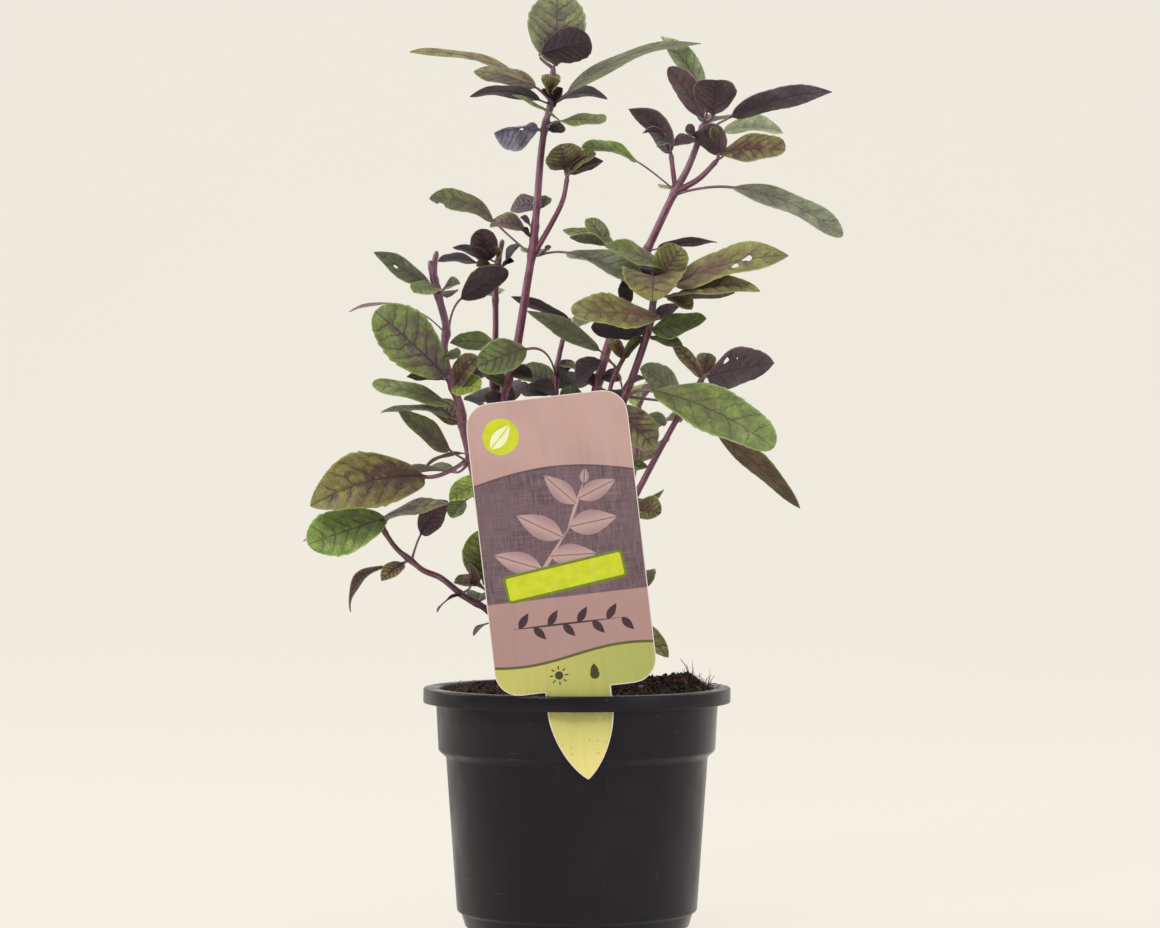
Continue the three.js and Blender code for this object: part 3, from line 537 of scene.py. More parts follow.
def stem_finish(name):
    """Skin of the stems and stalks: fine streaks along them, in the colour that the mesh gives, with
    painted shade in the grooves and a painted highlight on the ribs.
    """
    material, graph, shader = new_material(
        name, Sheen_Weight=0.1, Sheen_Roughness=0.35, Subsurface_Weight=0.12, Subsurface_Scale=0.0012,
        Subsurface_Radius=(1.0, 0.45, 0.4), Specular_IOR_Level=0.5)
    place = graph.attribute("span", "Vector")
    streaks = graph.noise(graph.attribute("grain", "Vector"), 1.6, 4.0, 0.65)
    skin = graph.attribute("skin", "Color")
    pale = graph.mix(0.6, skin, STEM_PALE_STREAK_AND_HIGHLIGHT)
    dark = graph.mix(0.75, skin, STEM_DARK_STREAK_AND_SHADE)
    colour = graph.mix(graph.step(streaks, 0.3, 0.72), dark, pale)
    colour = graph.mix(0.3, colour, skin)
    groove = graph.attribute("groove")
    # Painted shade: darker in the grooves of the stem's hollow sides.
    colour = graph.mix(graph.step(groove, 0.35, 0.9, 0.0, 0.62), colour, dark)
    # Painted highlight: paler along the ribs; stalks, whose groove value is 0, are paler all over.
    colour = graph.mix(graph.step(groove, 0.25, 0.0, 0.0, 0.4), colour, pale)
    patch = mottle(graph, place, 0.2, 0.52, 0.72)
    colour = graph.mix(graph.times(patch, 0.25), colour, STEM_CORK)
    pores = specks(graph, place, 1.3, 0.22, 0.16)
    colour = graph.mix(graph.times(pores, 0.4), colour, STEM_PORE)
    graph.feed(shader["Base Color"], colour)
    graph.feed(shader["Roughness"], graph.step(streaks, 0.2, 0.8, 0.46, 0.3))
    relief = graph.times_plus(graph.noise(place, 3.0, 3.0), 0.4, streaks)
    graph.feed(shader["Normal"], graph.bump(relief, 0.00025, 0.7))
    return material


def hair_finish():
    """The down on the stems: each hair has its own shade."""
    material, graph, shader = new_material(
        "stem_hairs", Subsurface_Weight=0.3, Subsurface_Scale=0.001, Roughness=0.5, Specular_IOR_Level=0.4)
    shade = graph.attribute("shade")
    graph.feed(shader["Base Color"], graph.mix(shade, HAIR_DARK, HAIR_PALE))
    return material


# Finishes of the pot, the peat and the label. Places on the pot and the peat are read in metres, and
# on the label in millimetres.

POT_BLACK = "#17141b"
POT_HAZE = "#1f1c24"
POT_RUBBED = "#59565f"
POT_SCRATCH = "#545257"
PEAT_DUST = "#4b4038"
PEAT_DARK = "#17110f"
PEAT_BROWN = "#33261e"
PEAT_DRY = "#3e2c22"
BARK_RED = "#5d3f30"
BARK_PALE = "#8f8373"
PEAT_WET = "#23160f"
CARD_PINK_LOW = "#b18d89"
CARD_PINK_HIGH = "#c9a59f"
CARD_PINK_SHADE = "#a58280"
CLOTH_DARK = "#523f48"
CLOTH_PALE = "#82686f"
CLOTH_GLOW = "#7d646b"
CLOTH_HEM = "#4b3840"
SPRIG_PALE = "#bf9f9b"
SPRIG_EDGE = "#a5868a"
SPRIG_LINE = "#86686d"
GARLAND_PLUM = "#40262f"
ICON_OLIVE = "#3b3d1b"
PANEL_FRAME = "#6f7f1e"
LIME_DARK = "#c5cf1c"
LIME_LIGHT = "#d3da2b"
BADGE_LEAF = "#f3f5c9"
BAND_LEFT = "#c6c168"
BAND_RIGHT = "#adb15f"
TONGUE_YELLOW = "#eee08a"
BAND_LINE = "#5d5a2a"
CARD_EDGE = "#e4dcd2"
CARD_DIRT = "#5b4a3c"
BACK_DARK = "#cfc6bb"
BACK_PALE = "#dad3c9"
PAPER_GLOW = "#f2ede1"
PAPER_DARK = "#413f3c"
PAPER_PALE = "#44423f"


def pot_finish():
    """Black moulded plastic, satin, with a dusty haze, rubbed marks and peat dust under the rim."""
    material, graph, shader = new_material("pot_plastic", Specular_IOR_Level=0.2)
    place = graph.node("TexCoord").outputs["Object"]
    haze = mottle(graph, place, 22.0, 0.42, 0.75)
    colour = graph.mix(haze, POT_BLACK, POT_HAZE)
    rubbed_place = graph.stretched(place, (160.0, 160.0, 34.0))
    rubbed = mottle(graph, rubbed_place, 1.0, 0.6, 0.72)
    rubbed = graph.times(rubbed, graph.step(graph.noise(place, 26.0, 2.0), 0.55, 0.7))
    colour = graph.mix(graph.times(rubbed, 0.3), colour, POT_RUBBED)
    scratch_place = graph.stretched(place, (30.0, 30.0, 520.0))
    scratch = graph.step(graph.noise(scratch_place, 1.0, 3.0), 0.71, 0.75)
    colour = graph.mix(graph.times(scratch, 0.25), colour, POT_SCRATCH)
    height = graph.parts(place)[2]
    near_rim = graph.step(height, 0.064, 0.101)
    dust = specks(graph, place, 420.0, 0.24, 0.05)
    dust = graph.times(dust, graph.times_plus(near_rim, 0.5, 0.05))
    colour = graph.mix(dust, colour, PEAT_DUST)
    graph.feed(shader["Base Color"], colour)
    smear = graph.noise(graph.stretched(place, (40.0, 40.0, 18.0)), 1.0, 4.0, 0.6)
    rough = graph.step(smear, 0.3, 0.7, 0.2, 0.42)
    graph.feed(shader["Roughness"], graph.times_plus(rubbed, 0.15, rough))
    grain = graph.noise(place, 1500.0, 2.0)
    waves = graph.noise(graph.stretched(place, (30.0, 30.0, 60.0)), 1.0, 2.0)
    relief = graph.times_plus(waves, 5.0, grain)
    graph.feed(shader["Normal"], graph.bump(relief, 0.00006, 0.8))
    return material


def peat_finish():
    """Moist peat and bark. Each crumb has its own shade, and some are reddish bark."""
    material, graph, shader = new_material("peat", Specular_IOR_Level=0.3)
    place = graph.node("TexCoord").outputs["Object"]
    shade = graph.attribute("shade")
    fine = graph.noise(place, 900.0, 5.0, 0.65)
    colour = graph.mix(graph.step(fine, 0.3, 0.7), PEAT_DARK, PEAT_BROWN)
    colour = graph.mix(graph.step(shade, 0.35, 0.75), colour, PEAT_DRY)
    colour = graph.mix(graph.step(shade, 0.84, 0.88), colour, BARK_RED)
    colour = graph.mix(graph.step(shade, 0.95, 0.97), colour, BARK_PALE)
    patch = mottle(graph, place, 75.0, 0.45, 0.7)
    colour = graph.mix(graph.times(patch, 0.4), colour, PEAT_WET)
    graph.feed(shader["Base Color"], colour)
    graph.feed(shader["Roughness"], graph.step(fine, 0.2, 0.8, 0.95, 0.72))
    graph.feed(shader["Normal"], graph.bump(graph.noise(place, 1600.0, 4.0, 0.7), 0.0006, 0.9))
    return material


def card_box(graph, x, z, centre, size, corner, turn=0.0):
    """Distance in millimetres to a rounded box on the card, below zero inside it."""
    u = graph.minus(x, centre[0])
    v = graph.minus(z, centre[1])
    cosine, sine = math.cos(turn), math.sin(turn)
    along = graph.times_plus(u, cosine, graph.times(v, sine))
    across = graph.times_plus(v, cosine, graph.times(u, -sine))
    over_u = graph.minus(graph.absolute(along), size[0] / 2 - corner)
    over_v = graph.minus(graph.absolute(across), size[1] / 2 - corner)
    squares = graph.maths("POWER", graph.maths("MAXIMUM", over_u, 0.0), 2.0)
    squares = graph.plus(squares, graph.maths("POWER", graph.maths("MAXIMUM", over_v, 0.0), 2.0))
    return graph.minus(graph.maths("SQRT", squares), corner)


def card_disc(graph, x, z, centre, radius):
    """Distance in millimetres to a disc on the card, below zero inside it."""
    u = graph.minus(x, centre[0])
    v = graph.minus(z, centre[1])
    squares = graph.times_plus(u, u, graph.times(v, v))
    return graph.minus(graph.maths("SQRT", squares), radius)


def card_leaf(graph, x, z, root, tip, width):
    """Two values of a drawn leaf: its distance, below zero inside, and the distance to its midrib."""
    length = math.hypot(tip[0] - root[0], tip[1] - root[1])
    cosine, sine = (tip[0] - root[0]) / length, (tip[1] - root[1]) / length
    u = graph.minus(x, root[0])
    v = graph.minus(z, root[1])
    along = graph.times_plus(u, cosine / length, graph.times(v, sine / length))
    across = graph.absolute(graph.times_plus(v, cosine, graph.times(u, -sine)))
    inside = graph.maths("MINIMUM", graph.maths("MAXIMUM", along, 0.0), 1.0)
    bow = graph.maths("SINE", graph.times(graph.maths("POWER", inside, 0.8), math.pi))
    beyond = graph.times(graph.absolute(graph.minus(along, inside)), length)
    return graph.plus(beyond, graph.times_plus(bow, -width / 2, across)), across


def inked(graph, distance, softness=0.12):
    """1 inside a printed shape and 0 outside it, with a soft edge."""
    return graph.step(distance, softness, -softness)


def label_cloth(graph, x, z, colour):
    """The mauve ground of the label's middle: a woven cloth under an arched edge."""
    bow = graph.maths("COSINE", graph.times(x, math.pi / LABEL_ARCH_SPAN))
    top = graph.plus(graph.times(bow, LABEL_ARCH_RISE), LABEL_ARCH_Z)
    inside = inked(graph, graph.minus(z, top), 0.25)
    inside = graph.times(inside, graph.step(z, LABEL_CLOTH_FOOT - 0.25, LABEL_CLOTH_FOOT + 0.25))
    warp_place = graph.joined(graph.times(x, 2.4), graph.times(z, 0.12))
    weft_place = graph.joined(graph.times(x, 0.1), graph.times(z, 2.2))
    warp = graph.noise(warp_place, 1.0, 3.0)
    weft = graph.noise(weft_place, 1.0, 3.0)
    threads = graph.plus(warp, graph.times(weft, 0.8))
    cloth = graph.mix(graph.step(threads, 0.65, 1.15), CLOTH_DARK, CLOTH_PALE)
    glow = graph.step(graph.noise(graph.joined(x, z), 0.035, 2.0), 0.35, 0.65, 0.0, 0.45)
    cloth = graph.mix(glow, cloth, CLOTH_GLOW)
    colour = graph.mix(inside, colour, cloth)
    from_hem = graph.absolute(graph.minus(z, top))
    hem = inked(graph, graph.minus(from_hem, LABEL_HEM))
    return graph.mix(graph.times(hem, 0.8), colour, CLOTH_HEM)


def label_sprig(graph, x, z, colour):
    """A drawn sprig: a bent stalk with pairs of leaves, in pale pink on the cloth."""
    for foot, head, width in LABEL_SPRIG_STALKS:
        stalk, _ = card_leaf(graph, x, z, foot, head, width)
        colour = graph.mix(inked(graph, stalk), colour, SPRIG_PALE)
    for root, tip, width in LABEL_SPRIG_LEAVES:
        shape, midrib = card_leaf(graph, x, z, root, tip, width)
        fill = graph.mix(graph.step(midrib, 0.0, width * 0.5), SPRIG_PALE, SPRIG_EDGE)
        colour = graph.mix(inked(graph, shape), colour, fill)
        line = graph.times(inked(graph, shape), graph.step(midrib, 0.35, 0.12))
        colour = graph.mix(line, colour, SPRIG_LINE)
    return colour


def label_panel_and_badge(graph, x, z, colour):
    """A bare lime panel, set askew, and a round lime badge with a leaf."""
    panel = card_box(graph, x, z, LABEL_PANEL, LABEL_PANEL_SIZE, LABEL_PANEL_CORNER, LABEL_PANEL_TURN)
    colour = graph.mix(inked(graph, panel), colour, PANEL_FRAME)
    cloudy = graph.step(graph.noise(graph.joined(x, z), 0.2, 2.0), 0.3, 0.7)
    lime = graph.mix(cloudy, LIME_DARK, LIME_LIGHT)
    colour = graph.mix(inked(graph, graph.plus(panel, LABEL_PANEL_FRAME)), colour, lime)
    badge = card_disc(graph, x, z, LABEL_BADGE, LABEL_BADGE_RADIUS)
    colour = graph.mix(inked(graph, badge), colour, lime)
    sign, sign_rib = card_leaf(graph, x, z, *LABEL_BADGE_LEAF)
    sign = graph.times(inked(graph, sign), graph.step(sign_rib, 0.15, 0.4))
    return graph.mix(sign, colour, BADGE_LEAF)


def label_band(graph, x, z, colour):
    """The lime foot of the label under a wavy line, turning yellow down the tongue."""
    wave = graph.maths("SINE", graph.times(x, math.pi / LABEL_BAND_SPAN))
    edge = graph.minus(z, graph.times_plus(wave, LABEL_BAND_WAVE, LABEL_BAND_Z))
    band = graph.mix(graph.step(x, -30.0, 30.0), BAND_LEFT, BAND_RIGHT)
    band = graph.mix(graph.step(z, -4.0, -36.0), band, TONGUE_YELLOW)
    colour = graph.mix(inked(graph, edge), colour, band)
    line = inked(graph, graph.minus(graph.absolute(edge), LABEL_BAND_LINE))
    return graph.mix(line, colour, BAND_LINE)


def label_garland(graph, x, z, colour):
    """Small plum leaves along a thin line, over the bottom band."""
    middle, reach = LABEL_GARLAND_Z, LABEL_GARLAND_REACH
    line, _ = card_leaf(graph, x, z, (-reach, middle), (reach, middle), 0.8)
    colour = graph.mix(inked(graph, line), colour, GARLAND_PLUM)
    for k, foot in enumerate(range(3 - reach, reach, LABEL_GARLAND_PITCH)):
        rise = 6 if k % 2 == 0 else -5.5
        shape, _ = card_leaf(graph, x, z, (foot, middle), (foot + 4.5, middle + rise), 3.2)
        colour = graph.mix(inked(graph, shape), colour, GARLAND_PLUM)
    return colour


def label_icons(graph, x, z, colour):
    """A sun and a water drop, as on any plant label, in dark olive."""
    sun, drop = LABEL_SUN, LABEL_DROP
    marks = [card_disc(graph, x, z, sun, LABEL_SUN_RADIUS)]
    for k in range(LABEL_RAY_COUNT):
        turn = 2 * math.pi * k / LABEL_RAY_COUNT
        ray = (sun[0] + LABEL_RAY_CIRCLE * math.cos(turn), sun[1] + LABEL_RAY_CIRCLE * math.sin(turn))
        marks.append(card_box(graph, x, z, ray, LABEL_RAY_SIZE, 0.25, turn))
    marks.append(card_disc(graph, x, z, (drop[0], drop[1] - 0.9), LABEL_DROP_RADIUS))
    foot, tip = (drop[0], drop[1] - 1.6), (drop[0], drop[1] + LABEL_DROP_HEIGHT)
    marks.append(card_leaf(graph, x, z, foot, tip, 3.3)[0])
    nearest = marks[0]
    for mark in marks[1:]:
        nearest = graph.maths("MINIMUM", nearest, mark)
    return graph.mix(inked(graph, nearest), colour, ICON_OLIVE)


def label_finish():
    """Printed plastic card: a generic plant label with no words."""
    material, graph, shader = new_material(
        "label_print", Coat_Weight=0.25, Coat_Roughness=0.25, Specular_IOR_Level=0.45)
    x, z, _ = graph.parts(graph.attribute("card", "Vector"))
    drift = graph.step(graph.noise(graph.joined(x, z), 0.03, 2.0), 0.3, 0.7)
    colour = graph.mix(graph.step(z, 20.0, 120.0), CARD_PINK_LOW, CARD_PINK_HIGH)
    colour = graph.mix(graph.times(drift, 0.3), colour, CARD_PINK_SHADE)
    colour = label_cloth(graph, x, z, colour)
    colour = label_sprig(graph, x, z, colour)
    colour = label_panel_and_badge(graph, x, z, colour)
    colour = label_garland(graph, x, z, colour)
    colour = label_band(graph, x, z, colour)
    colour = label_icons(graph, x, z, colour)
    border = graph.step(graph.attribute("border"), 0.42, 0.58)
    colour = graph.mix(border, colour, CARD_EDGE)
    dust = specks(graph, graph.joined(x, z), 0.9, 0.22, 0.08)
    dust = graph.times(dust, graph.step(z, 12.0, -30.0, 0.0, 0.8))
    colour = graph.mix(dust, colour, CARD_DIRT)
    graph.feed(shader["Base Color"], colour)
    smear = graph.noise(graph.joined(x, z), 0.08, 3.0)
    graph.feed(shader["Roughness"], graph.step(smear, 0.3, 0.7, 0.33, 0.46))
    creases = graph.joined(x, graph.times(z, 0.16))
    waves = graph.noise(creases, 0.11, 2.0, 0.4)
    graph.feed(shader["Normal"], graph.bump(waves, 0.005, 0.9))
    return material


def card_back_finish():
    """The unprinted back of the card: plain pale plastic, a little scuffed."""
    material, graph, shader = new_material("card_back", Specular_IOR_Level=0.45)
    place = graph.node("TexCoord").outputs["Object"]
    haze = mottle(graph, place, 30.0, 0.4, 0.7)
    graph.feed(shader["Base Color"], graph.mix(haze, BACK_DARK, BACK_PALE))
    graph.feed(shader["Roughness"], graph.step(haze, 0.0, 1.0, 0.38, 0.5))
    return material


def floor_finish():
    """Pale paper. It glows a little, so that it looks the same near the pot and far behind it."""
    material, graph, shader = new_material(
        "studio_paper", Roughness=0.9, Specular_IOR_Level=0.05, Emission_Color=paint(PAPER_GLOW),
        Emission_Strength=0.93)
    place = graph.node("TexCoord").outputs["Object"]
    shade = graph.step(graph.noise(place, 2.0, 3.0), 0.3, 0.7)
    graph.feed(shader["Base Color"], graph.mix(shade, PAPER_DARK, PAPER_PALE))
    return material


POT_PLASTIC = pot_finish()
PEAT = peat_finish()
LABEL_PRINT = label_finish()
CARD_BACK = card_back_finish()
LEAF_UPPER = leaf_finish("leaf_upper", under=False)
LEAF_UNDER = leaf_finish("leaf_underside", under=True)
STEM_SKIN = stem_finish("stem_skin")
STEM_HAIR = hair_finish()
STUDIO_PAPER = floor_finish()


# Pot

def pot_outline():
    """Radius and height, from the middle of the base round the outside and back down inside."""
    flange_foot = POT_HEIGHT - FLANGE_WALL
    lip_inside = RIM_RADIUS - LIP_WALL
    lip_foot = POT_HEIGHT - LIP_HEIGHT
    outer = [
        (0, 0), (FOOT_RADIUS, 0), (FOOT_TOP_RADIUS, BODY_FOOT_Z - 0.8), (BODY_FOOT_RADIUS, BODY_FOOT_Z),
        (BODY_TOP_RADIUS, BODY_TOP_Z), (COLLAR_FOOT_RADIUS, COLLAR_FOOT_Z), (COLLAR_RADIUS, flange_foot),
        (lip_inside, flange_foot), (lip_inside, lip_foot), (RIM_RADIUS, lip_foot), (RIM_RADIUS, POT_HEIGHT),
    ]
    inner = [
        (COLLAR_RADIUS - POT_WALL, POT_HEIGHT),
        (COLLAR_FOOT_RADIUS - POT_WALL, COLLAR_FOOT_Z + POT_WALL / 2),
        (BODY_TOP_RADIUS - POT_WALL, BODY_TOP_Z + POT_WALL / 2), (BODY_FOOT_RADIUS - POT_WALL, BODY_FOOT_Z),
        (FOOT_TOP_RADIUS - POT_WALL, FLOOR_WALL), (0, FLOOR_WALL),
    ]
    return rounded(outer + inner, POT_ROUNDING)


def pot_cutter():
    """The drainage holes and the label's slot, as one mesh to cut away."""
    shape = bmesh.new()
    for i in range(DRAIN_COUNT):
        angle = 2 * math.pi * (i + 0.5) / DRAIN_COUNT
        made = bmesh.ops.create_cone(shape, cap_ends=True, segments=32, depth=8 * MM,
                                     radius1=DRAIN_RADIUS * MM, radius2=DRAIN_RADIUS * MM)
        place = Vector((DRAIN_CIRCLE * math.cos(angle), DRAIN_CIRCLE * math.sin(angle), 0)) * MM
        bmesh.ops.translate(shape, verts=made["verts"], vec=place)
    made = bmesh.ops.create_cube(shape, size=1.0)
    bmesh.ops.scale(shape, verts=made["verts"], vec=Vector((SLOT_WIDTH, SLOT_DEPTH, 4 * FLANGE_WALL)) * MM)
    place = Vector((SLOT_CENTRE_X, LABEL_BASE.y, POT_HEIGHT)) * MM
    bmesh.ops.translate(shape, verts=made["verts"], vec=place)
    mesh = bpy.data.meshes.new("pot_cutter")
    shape.to_mesh(mesh)
    shape.free()
    return placed("pot_cutter", mesh)


def make_pot():
    """The pot, turned about its axis, with its holes cut."""
    pot = new_object("pot", *turned_mesh(pot_outline(), POT_SEGMENTS), [POT_PLASTIC])
    cutter = pot_cutter()
    cut = pot.modifiers.new("holes", "BOOLEAN")
    cut.operation = "DIFFERENCE"
    cut.solver = "EXACT"
    cut.object = cutter
    apply_modifiers(pot)
    bpy.data.objects.remove(cutter)
    pot.data.shade_smooth()
    pot.data.set_sharp_from_angle(angle=math.radians(38))
    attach(pot, "root")
    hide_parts("nursery_pot")


# Soil

def soil_height(x, y):
    """The soil's surface: heaped towards the middle and the right, with a lumpy top."""
    q = min(1.0, math.hypot(x, y) / SOIL_RADIUS)
    lumps = math.sin(0.19 * x + 0.8) * math.cos(0.16 * y - 0.4) + 0.6 * math.sin(0.31 * x - 0.27 * y)
    from_clump = (x - CLUMP_PLACE[0]) ** 2 + (y - CLUMP_PLACE[1]) ** 2
    clump = CLUMP_HEIGHT * math.exp(-from_clump / CLUMP_SPREAD)
    return SOIL_EDGE_Z + SOIL_HEAP * (1 - q * q) + 1.2 * lumps * (1 - q ** 4) + clump * (1 - q ** 6)


def crumbly_height(x, y):
    """The soil's surface with its fine roughness, which dies away at the pot's wall."""
    q = min(1.0, math.hypot(x, y) / SOIL_RADIUS)
    place = Vector((x, y, 0))
    coarse = noise.fractal(place * 0.12, 1.0, 2.0, 4)
    fine = noise.noise(place * 0.75)
    return soil_height(x, y) + (1.5 * coarse + 0.5 * fine) * (1 - q ** 10)


def soil_points(rings, segments, height):
    """The soil's top as rings of points, from the edge to the middle."""
    rows = []
    for k in range(rings):
        radius = SOIL_RADIUS * (1 - k / rings)
        row = []
        for i in range(segments):
            angle = 2 * math.pi * i / segments
            x, y = radius * math.cos(angle), radius * math.sin(angle)
            row.append((x, y, height(x, y)))
        rows.append(row)
    return rows


def soil_filling():
    """The peat as one closed body: down inside the pot, and crumbly on top."""
    inset = POT_WALL + SOIL_GAP
    below = [
        (FOOT_TOP_RADIUS - inset, FLOOR_WALL + SOIL_GAP), (BODY_FOOT_RADIUS - inset, BODY_FOOT_Z),
        (BODY_TOP_RADIUS - inset, BODY_TOP_Z), (COLLAR_FOOT_RADIUS - inset, COLLAR_FOOT_Z),
    ]
    points = [(0, 0, FLOOR_WALL + SOIL_GAP)]
    for radius, z in below:
        for i in range(SOIL_SEGMENTS):
            angle = 2 * math.pi * i / SOIL_SEGMENTS
            points.append((radius * math.cos(angle), radius * math.sin(angle), z))
    for row in soil_points(SOIL_RINGS, SOIL_SEGMENTS, crumbly_height):
        points += row
    points.append((0, 0, crumbly_height(0, 0)))
    n = SOIL_SEGMENTS
    rows = len(below) + SOIL_RINGS
    faces = [(0, 1 + (i + 1) % n, 1 + i) for i in range(n)]
    for k in range(rows - 1):
        for i in range(n):
            a, b = 1 + k * n + i, 1 + k * n + (i + 1) % n
            faces.append((a, b, b + n, a + n))
    last = 1 + (rows - 1) * n
    faces += [(last + i, last + (i + 1) % n, len(points) - 1) for i in range(n)]
    soil = new_object("peat_filling", points, faces, [PEAT])
    rng = random.Random(11)
    point_values(soil, "shade", [0.25 + 0.3 * rng.random() for _ in points])
    return soil


class Tree(Nodes):
    """A modifier's tree of geometry nodes."""

    def __init__(self, name, inputs):
        super().__init__(bpy.data.node_groups.new(name, "GeometryNodeTree"))
        self.names = add_sockets(self.tree, "INPUT", {"Bed": "Geometry", **inputs})
        add_sockets(self.tree, "OUTPUT", {"Result": "Geometry"})
        self.source = self.tree.nodes.new("NodeGroupInput").outputs
        self.end = self.tree.nodes.new("NodeGroupOutput").inputs

    def random_number(self, low, high, seed):
        inputs = {2: low, 3: high, "Seed": seed}
        return self.node("FunctionNodeRandomValue", inputs, data_type="FLOAT").outputs[1]

    def random_vector(self, low, high, seed):
        inputs = {0: low, 1: high, "Seed": seed}
        return self.node("FunctionNodeRandomValue", inputs, data_type="FLOAT_VECTOR").outputs[0]

    def points_on_bed(self):
        """Outlets of a node that strews points over the bed, at the tree's density and seed."""
        source = self.source
        inputs = {"Mesh": source["Bed"], "Density": source["Density"], "Seed": source["Seed"]}
        return self.node("GeometryNodeDistributePointsOnFaces", inputs).outputs

    def finish(self, copies, shade_seed):
        """Gives each copy its own shade for its material to read, and makes the copies real."""
        inputs = {0: copies, "Name": "shade", "Value": self.random_number(0.0, 1.0, shade_seed)}
        shaded = self.node("GeometryNodeStoreNamedAttribute", inputs, data_type="FLOAT", domain="INSTANCE")
        realized = self.node("GeometryNodeRealizeInstances", {0: shaded.outputs[0]}).outputs[0]
        coated = self.node("GeometryNodeSetMaterial", {0: realized, "Material": self.source["Finish"]})
        self.feed(self.end["Result"], coated.outputs[0])

    def grow(self, name, bed, values):
        """A plain mesh of what the tree makes on the bed, with these values as its inputs."""
        piece = placed(name, bed.data.copy())
        modifier = piece.modifiers.new("growth", "NODES")
        modifier.node_group = self.tree
        for label, value in values.items():
            modifier[self.names[label]] = value
        return apply_modifiers(piece)


SCATTER_INPUTS = {
    "Density": "Float", "Smallest": "Float", "Largest": "Float", "Seed": "Int", "Finish": "Material",
}


def scatter_tree(name, shape, lean):
    """Copies of a small shape strewn over a bed, each turned and sized at random.

    lean is how far a copy may turn away from lying as it was made, in radians.
    """
    tree = Tree(name, SCATTER_INPUTS)
    source = tree.source
    turn = tree.random_vector((-lean, -lean, -math.pi), (lean, lean, math.pi), source["Seed"])
    size = tree.random_vector((0.6, 0.6, 0.5), (1.2, 1.2, 1.2), 7)
    scale = tree.random_number(source["Smallest"], source["Largest"], 8)
    sized = tree.node("ShaderNodeVectorMath", {0: size, "Scale": scale}, operation="SCALE")
    copies = tree.node("GeometryNodeInstanceOnPoints", {
        "Points": tree.points_on_bed()["Points"], "Instance": shape(tree), "Rotation": turn,
        "Scale": sized.outputs[0]})
    tree.finish(copies.outputs[0], 9)
    return tree


def pushed(tree, shape, scale, detail, strength):
    """The shape with its points moved by a noise."""
    push = tree.node("ShaderNodeTexNoise", {"Scale": scale, "Detail": detail})
    centred = tree.node("ShaderNodeVectorMath", {0: push.outputs["Color"], 1: (0.5, 0.5, 0.5)},
                        operation="SUBTRACT")
    offset = tree.node("ShaderNodeVectorMath", {0: centred.outputs[0], "Scale": strength},
                       operation="SCALE")
    return tree.node("GeometryNodeSetPosition", {0: shape, "Offset": offset.outputs[0]}).outputs[0]


def crumb_shape(tree):
    """A small lump with a side of about 1, pushed out of round."""
    ball = tree.node("GeometryNodeMeshIcoSphere", {"Radius": 0.5, "Subdivisions": 2}).outputs[0]
    return pushed(tree, ball, scale=2.6, detail=2.0, strength=1.0)


def fibre_shape(tree):
    """A thin tapered fibre, lying along X, with a length of about 1."""
    cone = tree.node("GeometryNodeMeshCone", {
        "Vertices": 5, "Side Segments": 3, "Radius Top": 0.012, "Radius Bottom": 0.04, "Depth": 1.0})
    laid = tree.node("GeometryNodeTransform", {
        0: cone.outputs[0], "Rotation": (0, math.radians(90), 0)})
    return pushed(tree, laid.outputs[0], scale=1.7, detail=0.0, strength=0.5)


def chip_shape(tree):
    """A flat splinter of bark."""
    block = tree.node("GeometryNodeMeshCube", {"Size": (1.0, 0.4, 0.12), "Vertices X": 4, "Vertices Y": 3})
    return pushed(tree, block.outputs[0], scale=3.0, detail=2.0, strength=0.45)


def strew(name, bed, shape, lean, density, smallest, largest, seed):
    """A plain mesh of the scattered copies over the bed: density of them on a square millimetre."""
    tree = scatter_tree(name + "_tree", shape, lean)
    piece = tree.grow(name, bed, {
        "Density": density / MM ** 2, "Smallest": smallest * MM, "Largest": largest * MM, "Seed": seed,
        "Finish": PEAT,
    })
    piece.data.shade_smooth()
    return piece


def soil_bed(rings, segments, keep=lambda x, y: True):
    """A thin copy of the soil's top for the crumbs to lie on."""
    rows = soil_points(rings, segments, crumbly_height)
    points = [p for row in rows for p in row]
    faces = []
    for k in range(rings - 1):
        for i in range(segments):
            a, b = k * segments + i, k * segments + (i + 1) % segments
            if keep(points[a][0], points[a][1]):
                faces.append((a, b, b + segments, a + segments))
    return new_object("soil_bed", points, faces, [PEAT])


def tuft_bed():
    """The small heap at the right, where peat stands above the rim."""
    x, y = TUFT_PLACE
    return soil_bed(48, 96, lambda u, v: (u - x) ** 2 + (v - y) ** 2 < TUFT_RADIUS ** 2)


def make_soil():
    """The peat with the crumbs, fibres and chips of bark that lie on it."""
    filling = soil_filling()
    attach(filling, "root")
    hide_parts("potting_soil")
    bed = soil_bed(24, 96)
    tuft = tuft_bed()
    pieces = [
        strew("peat_crumbs", bed, crumb_shape, lean=3.0, density=0.13, smallest=1.1, largest=3.4, seed=3),
        strew("peat_fibres", bed, fibre_shape, lean=0.5, density=0.09, smallest=3.0, largest=8.0, seed=5),
        strew("bark_chips", bed, chip_shape, lean=0.6, density=0.025, smallest=2.5, largest=6.0, seed=6),
        strew("tuft_crumbs", tuft, crumb_shape, lean=3.0, density=0.55, smallest=1.6, largest=3.8, seed=13),
        strew("tuft_fibres", tuft, fibre_shape, lean=1.4, density=0.8, smallest=4.0, largest=8.5, seed=15),
    ]
    for scratch in (bed, tuft):
        bpy.data.objects.remove(scratch)
    for piece in pieces:
        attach(piece, "root")


# Label

def card_half_width(z):
    """Half width of the card's body at a height above its foot."""
    corner = LABEL_CORNER
    from_end = min(z, LABEL_HEIGHT - z)
    if from_end >= corner:
        return LABEL_WIDTH / 2
    return LABEL_WIDTH / 2 - corner + math.sqrt(max(0.0, corner ** 2 - (corner - from_end) ** 2))


